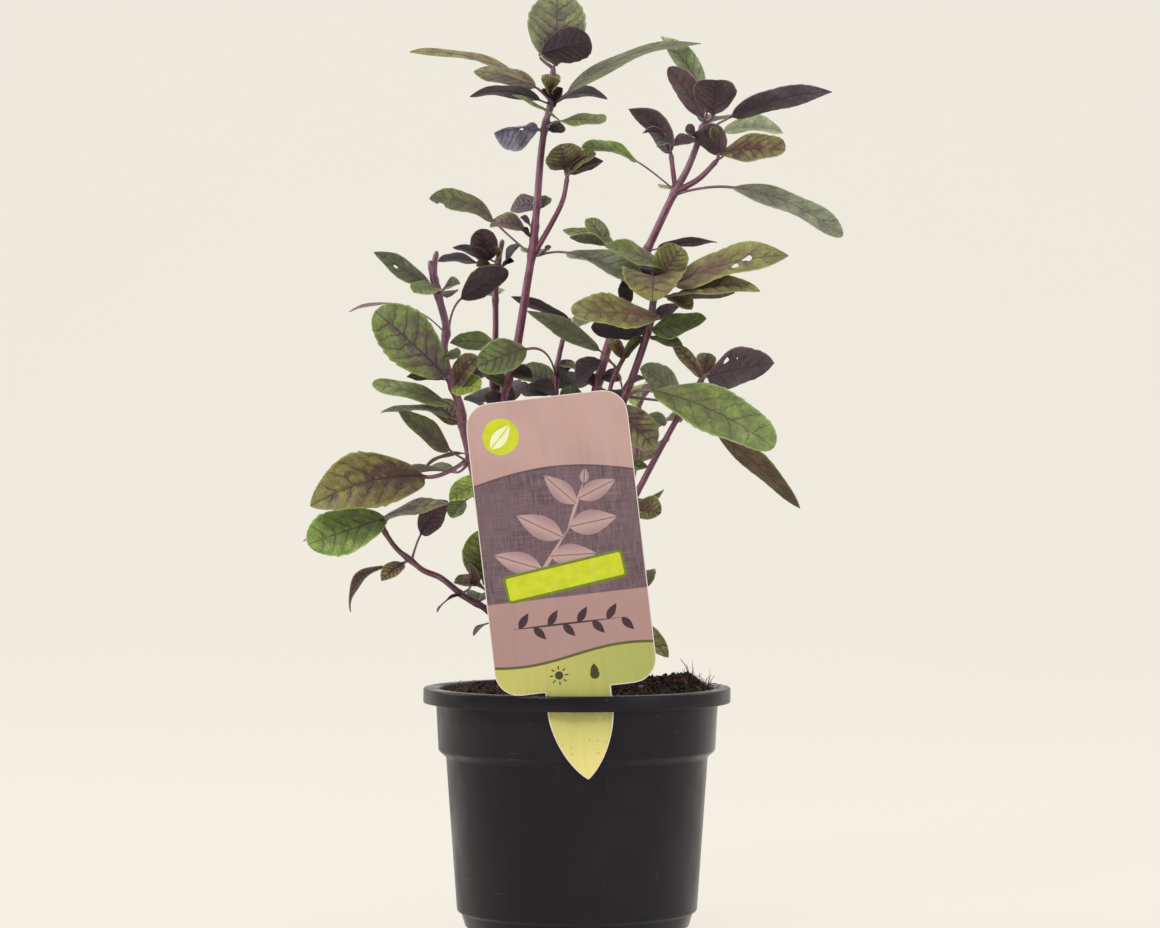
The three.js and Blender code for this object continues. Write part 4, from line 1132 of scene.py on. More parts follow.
def tongue_half_width(z):
    """Half width of the tongue, straight to its shoulder and then drawn to a rounded point."""
    if z > -TONGUE_SHOULDER:
        return TONGUE_HALF_WIDTH
    low, high = 0.0, 1.0
    for _ in range(30):
        t = (low + high) / 2
        height = cubic(t, *[z_there for _, z_there in TONGUE_CURVE])
        low, high = (t, high) if height > z else (low, t)
    return cubic(low, *[half for half, _ in TONGUE_CURVE])


def cubic(t, a, b, c, d):
    """The value at t of a curve drawn from a to d by b and c."""
    return a * (1 - t) ** 3 + 3 * b * t * (1 - t) ** 2 + 3 * c * t * t * (1 - t) + d * t ** 3


def card_heights(low, high, fine, coarse):
    """Heights of rows from low to high, closer together near both ends."""
    heights = []
    z = low
    while z < high - 1e-6:
        heights.append(z)
        near_end = min(z - low, high - z) < LABEL_CORNER
        z += fine if near_end else coarse
    return heights + [high]


def card_point(x, z):
    """A point of the card in the pot's frame. The card is slightly bowed and leans."""
    bow = LABEL_BOW * math.sin(math.pi * max(0.0, z) / LABEL_HEIGHT)
    cosine, sine = math.cos(LABEL_LEAN), math.sin(LABEL_LEAN)
    return LABEL_BASE + Vector((x * cosine - z * sine, bow, x * sine + z * cosine))


def make_label():
    """The card and its tongue as one sheet with a wall, its printed face to the front."""
    inner = [-1, -0.93, -0.75, -0.5, -0.25, 0, 0.25, 0.5, 0.75, 0.93, 1]
    wing = [0.0, 0.03, 0.07, 0.3, 0.6, 1.0]
    body = card_heights(0.0, LABEL_HEIGHT, 0.45, 3.0)
    tongue = card_heights(-TONGUE_LENGTH + 0.02, 0.0, 0.5, 1.5)[:-1]
    flat, rows = [], []
    for z in tongue + body:
        if z < 0:
            line = [tongue_half_width(z) * c for c in inner]
        else:
            side = card_half_width(z)
            left = [-side + (side - TONGUE_HALF_WIDTH) * c for c in wing]
            right = [-x for x in reversed(left)]
            line = left[:-1] + [TONGUE_HALF_WIDTH * c for c in inner] + right[1:]
        rows.append(list(range(len(flat), len(flat) + len(line))))
        flat += [(x, z) for x in line]
    shift = len(wing) - 1
    faces = []
    for low, high in zip(rows, rows[1:]):
        start = shift if len(low) < len(high) else 0
        for i in range(len(low) - 1):
            faces.append((low[i], low[i + 1], high[i + start + 1], high[i + start]))
    label = new_object("plant_label_card", [card_point(*p) for p in flat], faces,
                       [LABEL_PRINT, CARD_BACK])
    card = label.data.attributes.new("card", "FLOAT_VECTOR", "POINT")
    card.data.foreach_set("vector", [c for x, z in flat for c in (x, z, 0.0)])
    outline = card_outline()
    border = [max(0.0, 1 - distance_to(outline, p) / (2 * LABEL_BORDER)) for p in flat]
    point_values(label, "border", border)
    wall = label.modifiers.new("wall", "SOLIDIFY")
    wall.thickness = LABEL_CARD * MM
    wall.offset = 0.0
    wall.material_offset = 1
    apply_modifiers(label)
    label.data.shade_smooth()
    label.data.set_sharp_from_angle(angle=math.radians(50))
    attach(label, "root")
    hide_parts("plant_label")


def card_outline():
    """The outline of the card and tongue as points close together."""
    body = card_heights(0.0, LABEL_HEIGHT, 0.2, 2.0)
    tongue = card_heights(-TONGUE_LENGTH, 0.0, 0.4, 1.0)
    right = [(tongue_half_width(z), z) for z in tongue] + [(card_half_width(z), z) for z in body]
    left = [(-x, z) for x, z in reversed(right)]
    return np.array(right + left)


def distance_to(outline, point):
    """Distance from a point to a closed line of points."""
    start = outline
    span = np.roll(outline, -1, axis=0) - start
    offset = np.array(point) - start
    length = np.maximum((span ** 2).sum(1), 1e-12)
    t = np.clip((offset * span).sum(1) / length, 0, 1)
    return float(np.sqrt(((offset - span * t[:, None]) ** 2).sum(1)).min())


# Leafy stems. Points are arrays of millimetres until a mesh is made.

# Each tone: upper face, underside, flush, veins, rim, and how far the flush covers the blade
TONES = {
    "green": ("#748540", "#6f6b52", "#5f4b3a", "#454c2c", "#a9b67c", 0.45),
    "bright": ("#788d42", "#7d8458", "#646536", "#44512a", "#b3c976", 0.3),
    "lime": ("#9dac48", "#8f9058", "#83803f", "#61702e", "#c3d070", 0.2),
    "olive": ("#8a8c4a", "#75644e", "#6f4d42", "#55422f", "#b8b276", 0.6),
    "grey": ("#7f8863", "#70665e", "#625255", "#514c46", "#a9ae8c", 0.5),
    "deep": ("#52592f", "#51403c", "#45342c", "#353a24", "#868c52", 0.5),
    "bronze": ("#7d7430", "#5b4636", "#4f3126", "#34201b", "#9c9148", 0.75),
    "mottled": ("#7d7848", "#64504a", "#5c3c3a", "#422c2a", "#a39c68", 0.7),
    "veined": ("#7c8a46", "#70585a", "#5f4650", "#442c3a", "#abb46c", 0.6),
    "dark": ("#3f2c31", "#3b2931", "#2d1f27", "#2b1b24", "#6b4f5a", 0.6),
    "purple": ("#614750", "#574049", "#4a323d", "#3f2934", "#8d7079", 0.5),
    # dusk: dark purple leaves with a violet sheen painted into all their colours, a painted highlight
    "dusk_painted_sheen": ("#4f414e", "#584a5e", "#3a2c3a", "#35283a", "#8a7b98", 0.6),
    # violet: purple leaves whose pale bluish colours are a painted sheen, the reflection of their down
    "violet_painted_sheen": ("#8a7b94", "#a595ac", "#66546f", "#65577c", "#c6bccf", 0.45),
    "pale": ("#a3ad85", "#9a9a80", "#7c785c", "#717a56", "#c6cba8", 0.25),
}
STALK_DARK = "#3b2731"
STALK_ROSE = "#5f3644"
STEM_FOOT = "#48282c"
STEM_MIDDLE = "#7c2647"
STEM_HEAD = "#67364d"
STALK_HALF_WIDTH = 0.8
STALK_HALF_THICKNESS = 0.65
CHANNEL_DEPTH = 0.35
FULL_WIDTH = 22  # a leaf as wide as this has the full thickness of stalk and midrib
SHORTEST_STALK = 1.2
TIP_HALF_WIDTH = 0.3
STREAK_STRETCH = 0.07
ROOT_POWER = 0.72  # how fast a blade widens from its root
ROW_BUNCHING = 0.6  # how much closer the rows of a blade are near its ends
STEM_STEP = 1.6
STALK_STEP = 1.8
KNOT_RADIUS = 1.9
STEM_FOOT_Z = (112, 190)  # where the foot's colour gives way to the middle's
ATTRIBUTE_KINDS = {1: ("FLOAT", "value"), 3: ("FLOAT_VECTOR", "vector"), 4: ("FLOAT_COLOR", "color")}


def unit(v):
    """Each vector at a length of 1."""
    return v / np.maximum(np.linalg.norm(v, axis=-1, keepdims=True), 1e-12)


def smooth(value, low, high):
    """A smooth step from 0 to 1 while value goes from low to high."""
    t = np.clip((value - low) / (high - low), 0, 1)
    return t * t * (3 - 2 * t)


class Path:
    """A smooth curve through points, with knots spaced by the root of their distances."""

    def __init__(self, points):
        p = np.array(points, float)
        self.points = np.vstack([2 * p[0] - p[1], p, 2 * p[-1] - p[-2]])
        self.spans = len(points) - 1

    def at(self, t):
        """The point and direction at t, from 0 at the foot to 1 at the tip."""
        k = min(int(t * self.spans), self.spans - 1)
        u = t * self.spans - k
        a, b, c, d = self.points[k:k + 4]
        before, here, after = (max(1e-4, np.linalg.norm(q - p) ** 0.5) for p, q in ((a, b), (b, c), (c, d)))
        first = ((b - a) / before - (c - a) / (before + here) + (c - b) / here) * here
        second = ((c - b) / here - (d - b) / (here + after) + (d - c) / after) * here
        bend = -3 * b + 3 * c - 2 * first - second
        close = 2 * b - 2 * c + first + second
        place = b + first * u + bend * u ** 2 + close * u ** 3
        direction = first + 2 * bend * u + 3 * close * u ** 2
        return place, unit(direction)

    def nearest(self, point, count=60):
        places = np.array([self.at(k / count)[0] for k in range(count + 1)])
        away = np.linalg.norm(places - point, axis=1)
        k = int(away.argmin())
        return away[k], places[k], k / count


def shoot(foot_radius, tip_radius, points):
    """One shoot of a stem: its radius at both ends, and the points that its middle runs through."""
    return {"foot": foot_radius, "tip": tip_radius, "path": Path(points)}


def leaf(root, tip, width, tilt, tone, arch=0.08, fold=18, stalk=None, blunt=0.5, holes=()):
    """One leaf. tilt turns its upper face: 0 looks up, 90 to the front, below 0 shows the underside.

    blunt is 0 for a pointed tip and 1 for a round one. holes are bites: how far along, how far
    across (-1 to 1) and a radius in millimetres.
    """
    return {
        "root": np.array(root, float), "tip": np.array(tip, float), "width": width, "tilt": tilt,
        "arch": arch, "fold": fold, "stalk": stalk, "blunt": blunt, "tone": tone, "holes": holes,
    }


class Sheets:
    """Gathers the points and faces of many leaves or bars into one mesh."""

    def __init__(self):
        self.points, self.faces, self.slots = [], [], []
        self.values = {}
        self.count = 0

    def add(self, points, faces, slots, values):
        self.points.append(points)
        self.faces.append(faces + self.count)
        self.slots.append(slots)
        for name, value in values.items():
            self.values.setdefault(name, []).append(np.asarray(value, float))
        self.count += len(points)

    def make(self, name, materials):
        faces = np.concatenate(self.faces)
        points = np.concatenate(self.points) * MM
        mesh = bpy.data.meshes.new(name)
        mesh.from_pydata(points.tolist(), [], faces.tolist())
        for material in materials:
            mesh.materials.append(material)
        mesh.polygons.foreach_set("material_index", np.concatenate(self.slots).astype(np.int32))
        for label, parts in self.values.items():
            value = np.concatenate(parts)
            if label == "uv":
                layer = mesh.uv_layers.new(name="UVMap")
                layer.data.foreach_set("uv", value[faces.ravel()].ravel())
                continue
            kind, field = ATTRIBUTE_KINDS[1 if value.ndim == 1 else value.shape[1]]
            layer = mesh.attributes.new(label, kind, "POINT")
            layer.data.foreach_set(field, value.astype(np.float32).ravel())
        mesh.shade_smooth()
        return placed(name, mesh)


def blade_frame(row):
    """Directions along, up from and across a blade, and its length."""
    along = row["tip"] - row["root"]
    length = np.linalg.norm(along)
    along = along / length
    tilt = math.radians(row["tilt"])
    face = np.array((0.0, -math.sin(tilt), math.cos(tilt)))
    face = unit(face - along * face.dot(along))
    return along, face, np.cross(along, face), length


def thickness_share(width):
    """How thick the stalk and midrib of a leaf are, as a part of a large leaf's."""
    return min(1.15, max(0.55, width / FULL_WIDTH))


def stalk_section(c, size):
    """A stalk's section at c across it, from -1 to 1: how far out and how far up or down."""
    x = STALK_HALF_WIDTH * size * np.sin(c * np.pi / 2)
    z = STALK_HALF_THICKNESS * size * np.cos(c * np.pi / 2 * 0.9)
    return x, z


def stalk_channel(c, size):
    """How deep the channel on a stalk's upper side is."""
    return CHANNEL_DEPTH * size * (1 - np.abs(c)) ** 2


def half_width(row, s):
    """Half width of a blade at s from its root to its tip."""
    s = np.clip(s, 0, 1)
    tip_power = 1 - 0.5 * row["blunt"]
    widest = ROOT_POWER / (ROOT_POWER + tip_power)
    return row["width"] / 2 * (s / widest) ** ROOT_POWER * ((1 - s) / (1 - widest)) ** tip_power


def blade_grid(row, length):
    """Rows and columns of a blade: how far along each row starts, and how far across each column is.

    The rows sweep forward from the midrib as the side veins do.
    """
    count = TOOTH_ROWS * max(4, round(length / TOOTH_PITCH))
    even = np.arange(count + 1) / count
    start = even - ROW_BUNCHING * np.sin(2 * np.pi * even) / (2 * np.pi)
    half = row["width"] / 2
    inner = min(0.16, 0.75 / half)
    columns = 7 if half > 7 else 5 if half > 4 else 3
    outer = inner + (0.93 - inner) * np.arange(1, columns) / (columns - 1)
    out = np.concatenate([[0.0, inner], outer, [1.0]])
    across = np.concatenate([-out[:0:-1], out])
    sweep = min(0.45, half / length)
    s0, c = np.meshgrid(start, across, indexing="ij")
    ramp = smooth(s0, 0.0, 0.2)
    s = s0 + sweep * np.abs(c) ** 1.15 * (1 - s0 ** 2) * ramp
    return s0, s, c


def bite(row, s, c, length):
    """Which cells of the blade are kept, with the points round each hole moved onto its edge."""
    kept = np.ones((s.shape[0] - 1, s.shape[1] - 1), bool)
    for along, across, radius in row["holes"]:
        half = np.maximum(half_width(row, s), 0.5)
        x, y = c * half, s * length
        hole_x = across * half_width(row, np.array(along))
        hole_y = along * length
        turn = np.arctan2(y - hole_y, x - hole_x)
        reach = radius * (1 + 0.22 * np.sin(3 * turn + 9 * along) + 0.1 * np.sin(5 * turn))
        away = np.hypot(x - hole_x, y - hole_y)
        inside = away < reach
        corners = inside[:-1, :-1].astype(int) + inside[1:, :-1] + inside[:-1, 1:] + inside[1:, 1:]
        gone = corners >= 2
        kept &= ~gone
        near_gone = np.zeros(s.shape, bool)
        near_kept = np.zeros(s.shape, bool)
        for dj in (0, 1):
            for di in (0, 1):
                window = (slice(dj, s.shape[0] - 1 + dj), slice(di, s.shape[1] - 1 + di))
                near_gone[window] |= gone
                near_kept[window] |= ~gone
        rim = near_gone & near_kept
        scale = np.where(rim, reach / np.maximum(away, 1e-6), 1.0)
        new_x = hole_x + (x - hole_x) * scale
        new_y = hole_y + (y - hole_y) * scale
        s = np.where(rim, np.clip(new_y / length, 0.0, 1.0), s)
        half = np.maximum(half_width(row, s), 0.5)
        c = np.where(rim, np.clip(new_x / half, -1.0, 1.0), c)
    return kept, s, c


def toothed(s, rng):
    """How far each row's edge stands out as a part of the half width: uneven teeth that point forward."""
    saw = np.arange(s.shape[0])[:, None] % TOOTH_ROWS / (TOOTH_ROWS - 1) - 0.5
    teeth = np.array([rng.uniform(0.1, 1.7) for _ in range(s.shape[0] // TOOTH_ROWS + 1)])
    uneven = np.repeat(teeth, TOOTH_ROWS)[:s.shape[0], None]
    strength = smooth(s, 0.22, 0.4) * smooth(s, 1.0, 0.95)
    return TOOTH_DEPTH * saw * 2 * strength * uneven


def blade_surfaces(row, frame, s0, s, c, rng):
    """Upper and lower points of a blade, blended into its stalk at the root."""
    along, face, side, length = frame
    width = row["width"]
    size = thickness_share(width)
    half = np.maximum(half_width(row, s), TIP_HALF_WIDTH)
    half = half * (1 + toothed(s, rng) * smooth(np.abs(c), 0.8, 1.0))
    half = np.maximum(half, STALK_HALF_WIDTH * size * smooth(s, 0.3, 0.0))
    slope = row["arch"] * 4 * (1 - 2 * s)
    middle = row["root"] + along * (s * length)[..., None]
    middle = middle + face * (row["arch"] * length * 4 * s * (1 - s))[..., None]
    normal = unit(face - along * slope[..., None])
    twist = rng.uniform(-0.11, 0.11) * (s - 0.15)
    lateral = side * np.cos(twist)[..., None] + normal * np.sin(twist)[..., None]
    up = normal * np.cos(twist)[..., None] - side * np.sin(twist)[..., None]
    fold = math.radians(row["fold"]) * np.minimum(1, 3 * s)
    phase = row["root"][0] + row["root"][2]
    ripple = WAVE_DEPTH * 2 * half * np.sin(9 * s + phase + np.sign(c))
    vein = s0 * VEIN_PAIRS / VEIN_REACH + VEIN_ALTERNATE * np.sign(c)
    swell = np.sin(np.pi * np.clip(np.abs(c) * 1.04, 0, 1)) ** 0.7
    swell = swell * smooth(s, 0.03, 0.15) * smooth(s, 1.0, 0.85)
    pucker = -PUCKER * width * np.cos(2 * np.pi * vein) * swell
    x = half * np.cos(fold) * c
    z = half * np.sin(fold) * np.abs(c) ** 1.35 + ripple * c ** 2 + pucker
    thick = EDGE_THICKNESS + (BLADE_THICKNESS - EDGE_THICKNESS) * (1 - np.abs(c)) ** 0.7
    near_midrib = np.exp(-((half * c) / 0.55) ** 2)
    ridge = size * (0.12 + 0.6 * (1 - s)) * near_midrib
    groove = size * 0.22 * near_midrib * (1 - 0.6 * s)
    upper, lower = z + thick / 2 - groove, z - thick / 2 - ridge
    joined = smooth(s, 0.07, 0.0)
    stalk_x, stalk_z = stalk_section(c, size)
    x = x + (stalk_x - x) * joined
    upper = upper + (stalk_z - stalk_channel(c, size) - upper) * joined
    lower = lower + (-stalk_z - lower) * joined
    base = middle + lateral * x[..., None]
    return base + up * upper[..., None], base + up * lower[..., None], half


def stalk_start(shoots, row):
    """Where a leaf's stalk leaves the stem: as stated, or else the nearest point of a shoot."""
    if row["stalk"] is not None:
        return np.array(row["stalk"], float)
    found = [shoot["path"].nearest(row["root"]) for shoot in shoots]
    return min(found, key=lambda entry: entry[0])[1]


def stalk_surfaces(shoots, row, frame, c):
    """Upper and lower points of the stalk's rings, from inside the stem to the blade."""
    along, face, side, _ = frame
    start = stalk_start(shoots, row)
    reach = np.linalg.norm(row["root"] - start)
    if reach < SHORTEST_STALK:
        return None
    rootward = unit(along + face * 4 * row["arch"])
    bend = row["root"] - rootward * 0.4 * reach
    size = thickness_share(row["width"])
    count = max(3, int(reach / STALK_STEP))
    t = (np.arange(count) / count)[:, None, None]
    centre = start * (1 - t) ** 2 + bend * 2 * t * (1 - t) + row["root"] * t ** 2
    tangent = unit(2 * (1 - t) * (bend - start) + 2 * t * (row["root"] - bend))
    normal = unit(np.cross(side, tangent))
    across = np.cross(tangent, normal)
    swollen = size * (1 + 0.45 * np.exp(-(t * reach / 2.2) ** 2))
    c = c[None, :, None]
    x, z = stalk_section(c, swollen)
    channel = stalk_channel(c, size)
    base = centre + across * x
    span_x = x[..., 0]
    span_y = np.broadcast_to(-(1 - t[..., 0]) * reach, span_x.shape)
    return base + normal * (z - channel), base - normal * z, span_x, span_y


def sheet_faces(kept):
    """Faces of a sheet with two sides and a wall, over a grid of cells, and which face is what.

    The upper points come first, row by row, and then the lower ones.
    """
    rows, columns = kept.shape[0] + 1, kept.shape[1] + 1
    index = np.arange(rows * columns).reshape(rows, columns)
    below = index + rows * columns
    a, b, c, d = index[:-1, :-1], index[:-1, 1:], index[1:, 1:], index[1:, :-1]
    e, f, g, h = below[:-1, :-1], below[:-1, 1:], below[1:, 1:], below[1:, :-1]
    row_of = np.broadcast_to(np.arange(rows - 1)[:, None], kept.shape)
    groups = [(kept, (a, b, c, d), 0), (kept, (h, g, f, e), 1)]
    gone = np.pad(~kept, 1, constant_values=True)
    open_start = kept & gone[:-2, 1:-1]
    open_right = kept & gone[1:-1, 2:]
    open_end = kept & gone[2:, 1:-1]
    open_left = kept & gone[1:-1, :-2]
    groups += [(open_start, (b, a, e, f), 1), (open_right, (c, b, f, g), 1)]
    groups += [(open_end, (d, c, g, h), 1), (open_left, (a, d, h, e), 1)]
    faces, kinds, face_rows = [], [], []
    for mask, corners, kind in groups:
        faces.append(np.stack([corner[mask] for corner in corners], axis=1))
        kinds.append(np.full(int(mask.sum()), kind))
        face_rows.append(row_of[mask])
    return np.concatenate(faces), np.concatenate(kinds), np.concatenate(face_rows)


def leaf_colours(row, rng):
    """The leaf's own colours, each a little lighter or darker than its tone."""
    *codes, cover = TONES[row["tone"]]
    light = rng.uniform(0.86, 1.16)
    warm = rng.uniform(-0.07, 0.07)
    shift = np.array((1 + warm, 1.0, 1 - warm))
    colours = [np.clip(np.array(linear(code)) * light * shift, 0, 1) for code in codes]
    return colours, cover * rng.uniform(0.8, 1.2)


def add_leaf(sheets, shoots, row, rng):
    """Adds one leaf: its stalk's rings, then its blade, as one sheet with two sides."""
    frame = blade_frame(row)
    length = frame[3]
    s0, s, c = blade_grid(row, length)
    kept, s, c = bite(row, s, c, length)
    upper, lower, half = blade_surfaces(row, frame, s0, s, c, rng)
    span_x, span_y = c * half, s * length
    stalk = stalk_surfaces(shoots, row, frame, c[0])
    stalk_rows = 0
    if stalk is not None:
        stalk_rows = len(stalk[0])
        upper = np.concatenate([stalk[0], upper])
        lower = np.concatenate([stalk[1], lower])
        span_x = np.concatenate([stalk[2], span_x])
        span_y = np.concatenate([stalk[3], span_y])
        kept = np.concatenate([np.ones((stalk_rows, kept.shape[1]), bool), kept])
        s0 = np.concatenate([np.zeros((stalk_rows, c.shape[1])), s0])
        c = np.concatenate([np.broadcast_to(c[0], (stalk_rows, c.shape[1])), c])
    faces, kinds, face_rows = sheet_faces(kept)
    slots = np.where(face_rows < stalk_rows, 2, kinds)
    points = np.concatenate([upper.reshape(-1, 3), lower.reshape(-1, 3)])
    colours, cover = leaf_colours(row, rng)
    seed = rng.uniform(0, 200)
    both = [np.tile(v.ravel(), 2) for v in (span_x, span_y, s0, c)]
    count = len(points)
    rose = smooth(np.array(row["width"]), 12, 26)
    skin = np.array(linear(STALK_DARK)) * (1 - rose) + np.array(linear(STALK_ROSE)) * rose
    values = {
        "uv": np.stack([0.5 + 0.5 * both[3], both[2]], axis=1),
        "span": np.stack([both[0], both[1], np.full(count, seed)], axis=1),
        "grain": np.stack([both[0], np.full(count, seed), both[1] * STREAK_STRETCH], axis=1),
        "leaf_length": np.full(count, length),
        "cover": np.full(count, cover),
        "groove": np.zeros(count),
        "skin": np.tile((*skin, 1.0), (count, 1)),
    }
    for name, colour in zip(("blade", "under", "flush", "rib", "rim"), colours):
        values[name] = np.tile((*colour, 1.0), (count, 1))
    sheets.add(points, faces, slots, values)


def stem_radius(theta, knot):
    """A rounded square with hollow sides, as a part of the stem's radius; fuller at a knot."""
    ribs = 0.9 + 0.1 * np.cos(4 * theta)
    return ribs + (1.2 - ribs) * knot


def knots_along(centre, joints):
    """How swollen each ring of a shoot is, from 0 to 1, where stalks and shoots leave it."""
    knot = np.zeros(len(centre))
    for joint in joints:
        away = np.linalg.norm(centre - joint, axis=1)
        if away.min() < 2.5:
            knot = np.maximum(knot, np.exp(-(away / KNOT_RADIUS) ** 2))
    return knot


def bar_faces(rings):
    """Faces of a closed bar: its sides, and both ends in strips of four-sided faces."""
    n = STEM_SIDES
    index = np.arange(rings * n).reshape(rings, n)
    ahead = np.roll(index, -1, axis=1)
    faces = np.stack([index[:-1], ahead[:-1], ahead[1:], index[1:]], axis=-1).reshape(-1, 4)
    caps = []
    for k in range(0, n // 2 - 1):
        caps.append((index[0, k], index[0, n - 1 - k], index[0, n - 2 - k], index[0, k + 1]))
        caps.append((index[-1, k], index[-1, k + 1], index[-1, n - 2 - k], index[-1, n - 1 - k]))
    return np.concatenate([faces, np.array(caps)])


def bar_skin(height, t, knot):
    """The colour of each ring of a shoot: brown at the soil, then crimson, and duller at the tip."""
    foot, middle, head = (np.array(linear(code)) for code in (STEM_FOOT, STEM_MIDDLE, STEM_HEAD))
    low = smooth(height, *STEM_FOOT_Z)[:, None]
    high = smooth(t, 0.6, 1.0)[:, None]
    skin = foot * (1 - low) + (middle * (1 - high) + head * high) * low
    return skin * (1 - 0.18 * knot[:, None])


def add_bar(sheets, shoots, item, rows, seed):
    """One shoot: a square tapered bar along its path, swollen where stalks and shoots leave it."""
    path = item["path"]
    places = np.array([path.at(k / (path.spans * 4))[0] for k in range(path.spans * 4 + 1)])
    length = np.linalg.norm(np.diff(places, axis=0), axis=1).sum()
    count = max(6, int(length / STEM_STEP))
    t = np.arange(count + 1) / count
    centre = np.array([path.at(v)[0] for v in t])
    tangent = np.array([path.at(v)[1] for v in t])
    sideways = unit(np.cross((0.31, 0.95, 0.02), tangent))
    across = np.cross(tangent, sideways)
    joints = [stalk_start(shoots, row) for row in rows]
    joints += [other["path"].at(0)[0] for other in shoots if other is not item]
    knot = knots_along(centre, joints)
    theta = 2 * np.pi * np.arange(STEM_SIDES) / STEM_SIDES
    radius = (item["foot"] + (item["tip"] - item["foot"]) * t) * (1 - 0.5 * smooth(t, 0.985, 1.0))
    reach = radius[:, None] * stem_radius(theta[None], knot[:, None])
    points = centre[:, None] + sideways[:, None] * (reach * np.cos(theta))[..., None]
    points = points + across[:, None] * (reach * np.sin(theta))[..., None]
    faces = bar_faces(count + 1)
    along = np.repeat(t * length, STEM_SIDES)
    flat = reach.ravel()
    angle = np.tile(theta, count + 1)
    skin = np.repeat(bar_skin(centre[:, 2], t, knot), STEM_SIDES, axis=0)
    x, y = flat * np.cos(angle), flat * np.sin(angle)
    values = {
        "span": np.stack([x, y + seed, along], axis=1),
        "grain": np.stack([x, y + seed, along * STREAK_STRETCH], axis=1),
        "groove": 0.5 - 0.5 * np.cos(4 * angle),
        "skin": np.concatenate([skin, np.ones((len(skin), 1))], axis=1),
    }
    sheets.add(points.reshape(-1, 3), faces, np.zeros(len(faces)), values)


STEMS_MADE = []


def stem(node, shoots, leaves):
    """Makes one leafy stem: a piece for its shoots and one for its leaves and stalks."""
    rng = random.Random(node)
    name = node.replace("leafy_stem_", "").replace("leafy_branch_", "branch_")
    bars = Sheets()
    for item in shoots:
        add_bar(bars, shoots, item, leaves, rng.uniform(0, 100))
    wood = bars.make("stem_" + name, [STEM_SKIN])
    blades = Sheets()
    for row in leaves:
        add_leaf(blades, shoots, row, rng)
    foliage = blades.make("leaves_" + name, [LEAF_UPPER, LEAF_UNDER, STEM_SKIN])
    for piece, slot in ((wood, "stem"), (foliage, "leaf")):
        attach(piece, "root")
        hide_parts(node)
    STEMS_MADE.append(wood)


# The plant. Its stems and leaves have the places and forms of the solids that they replace. A few
# more small leaves are here alone.

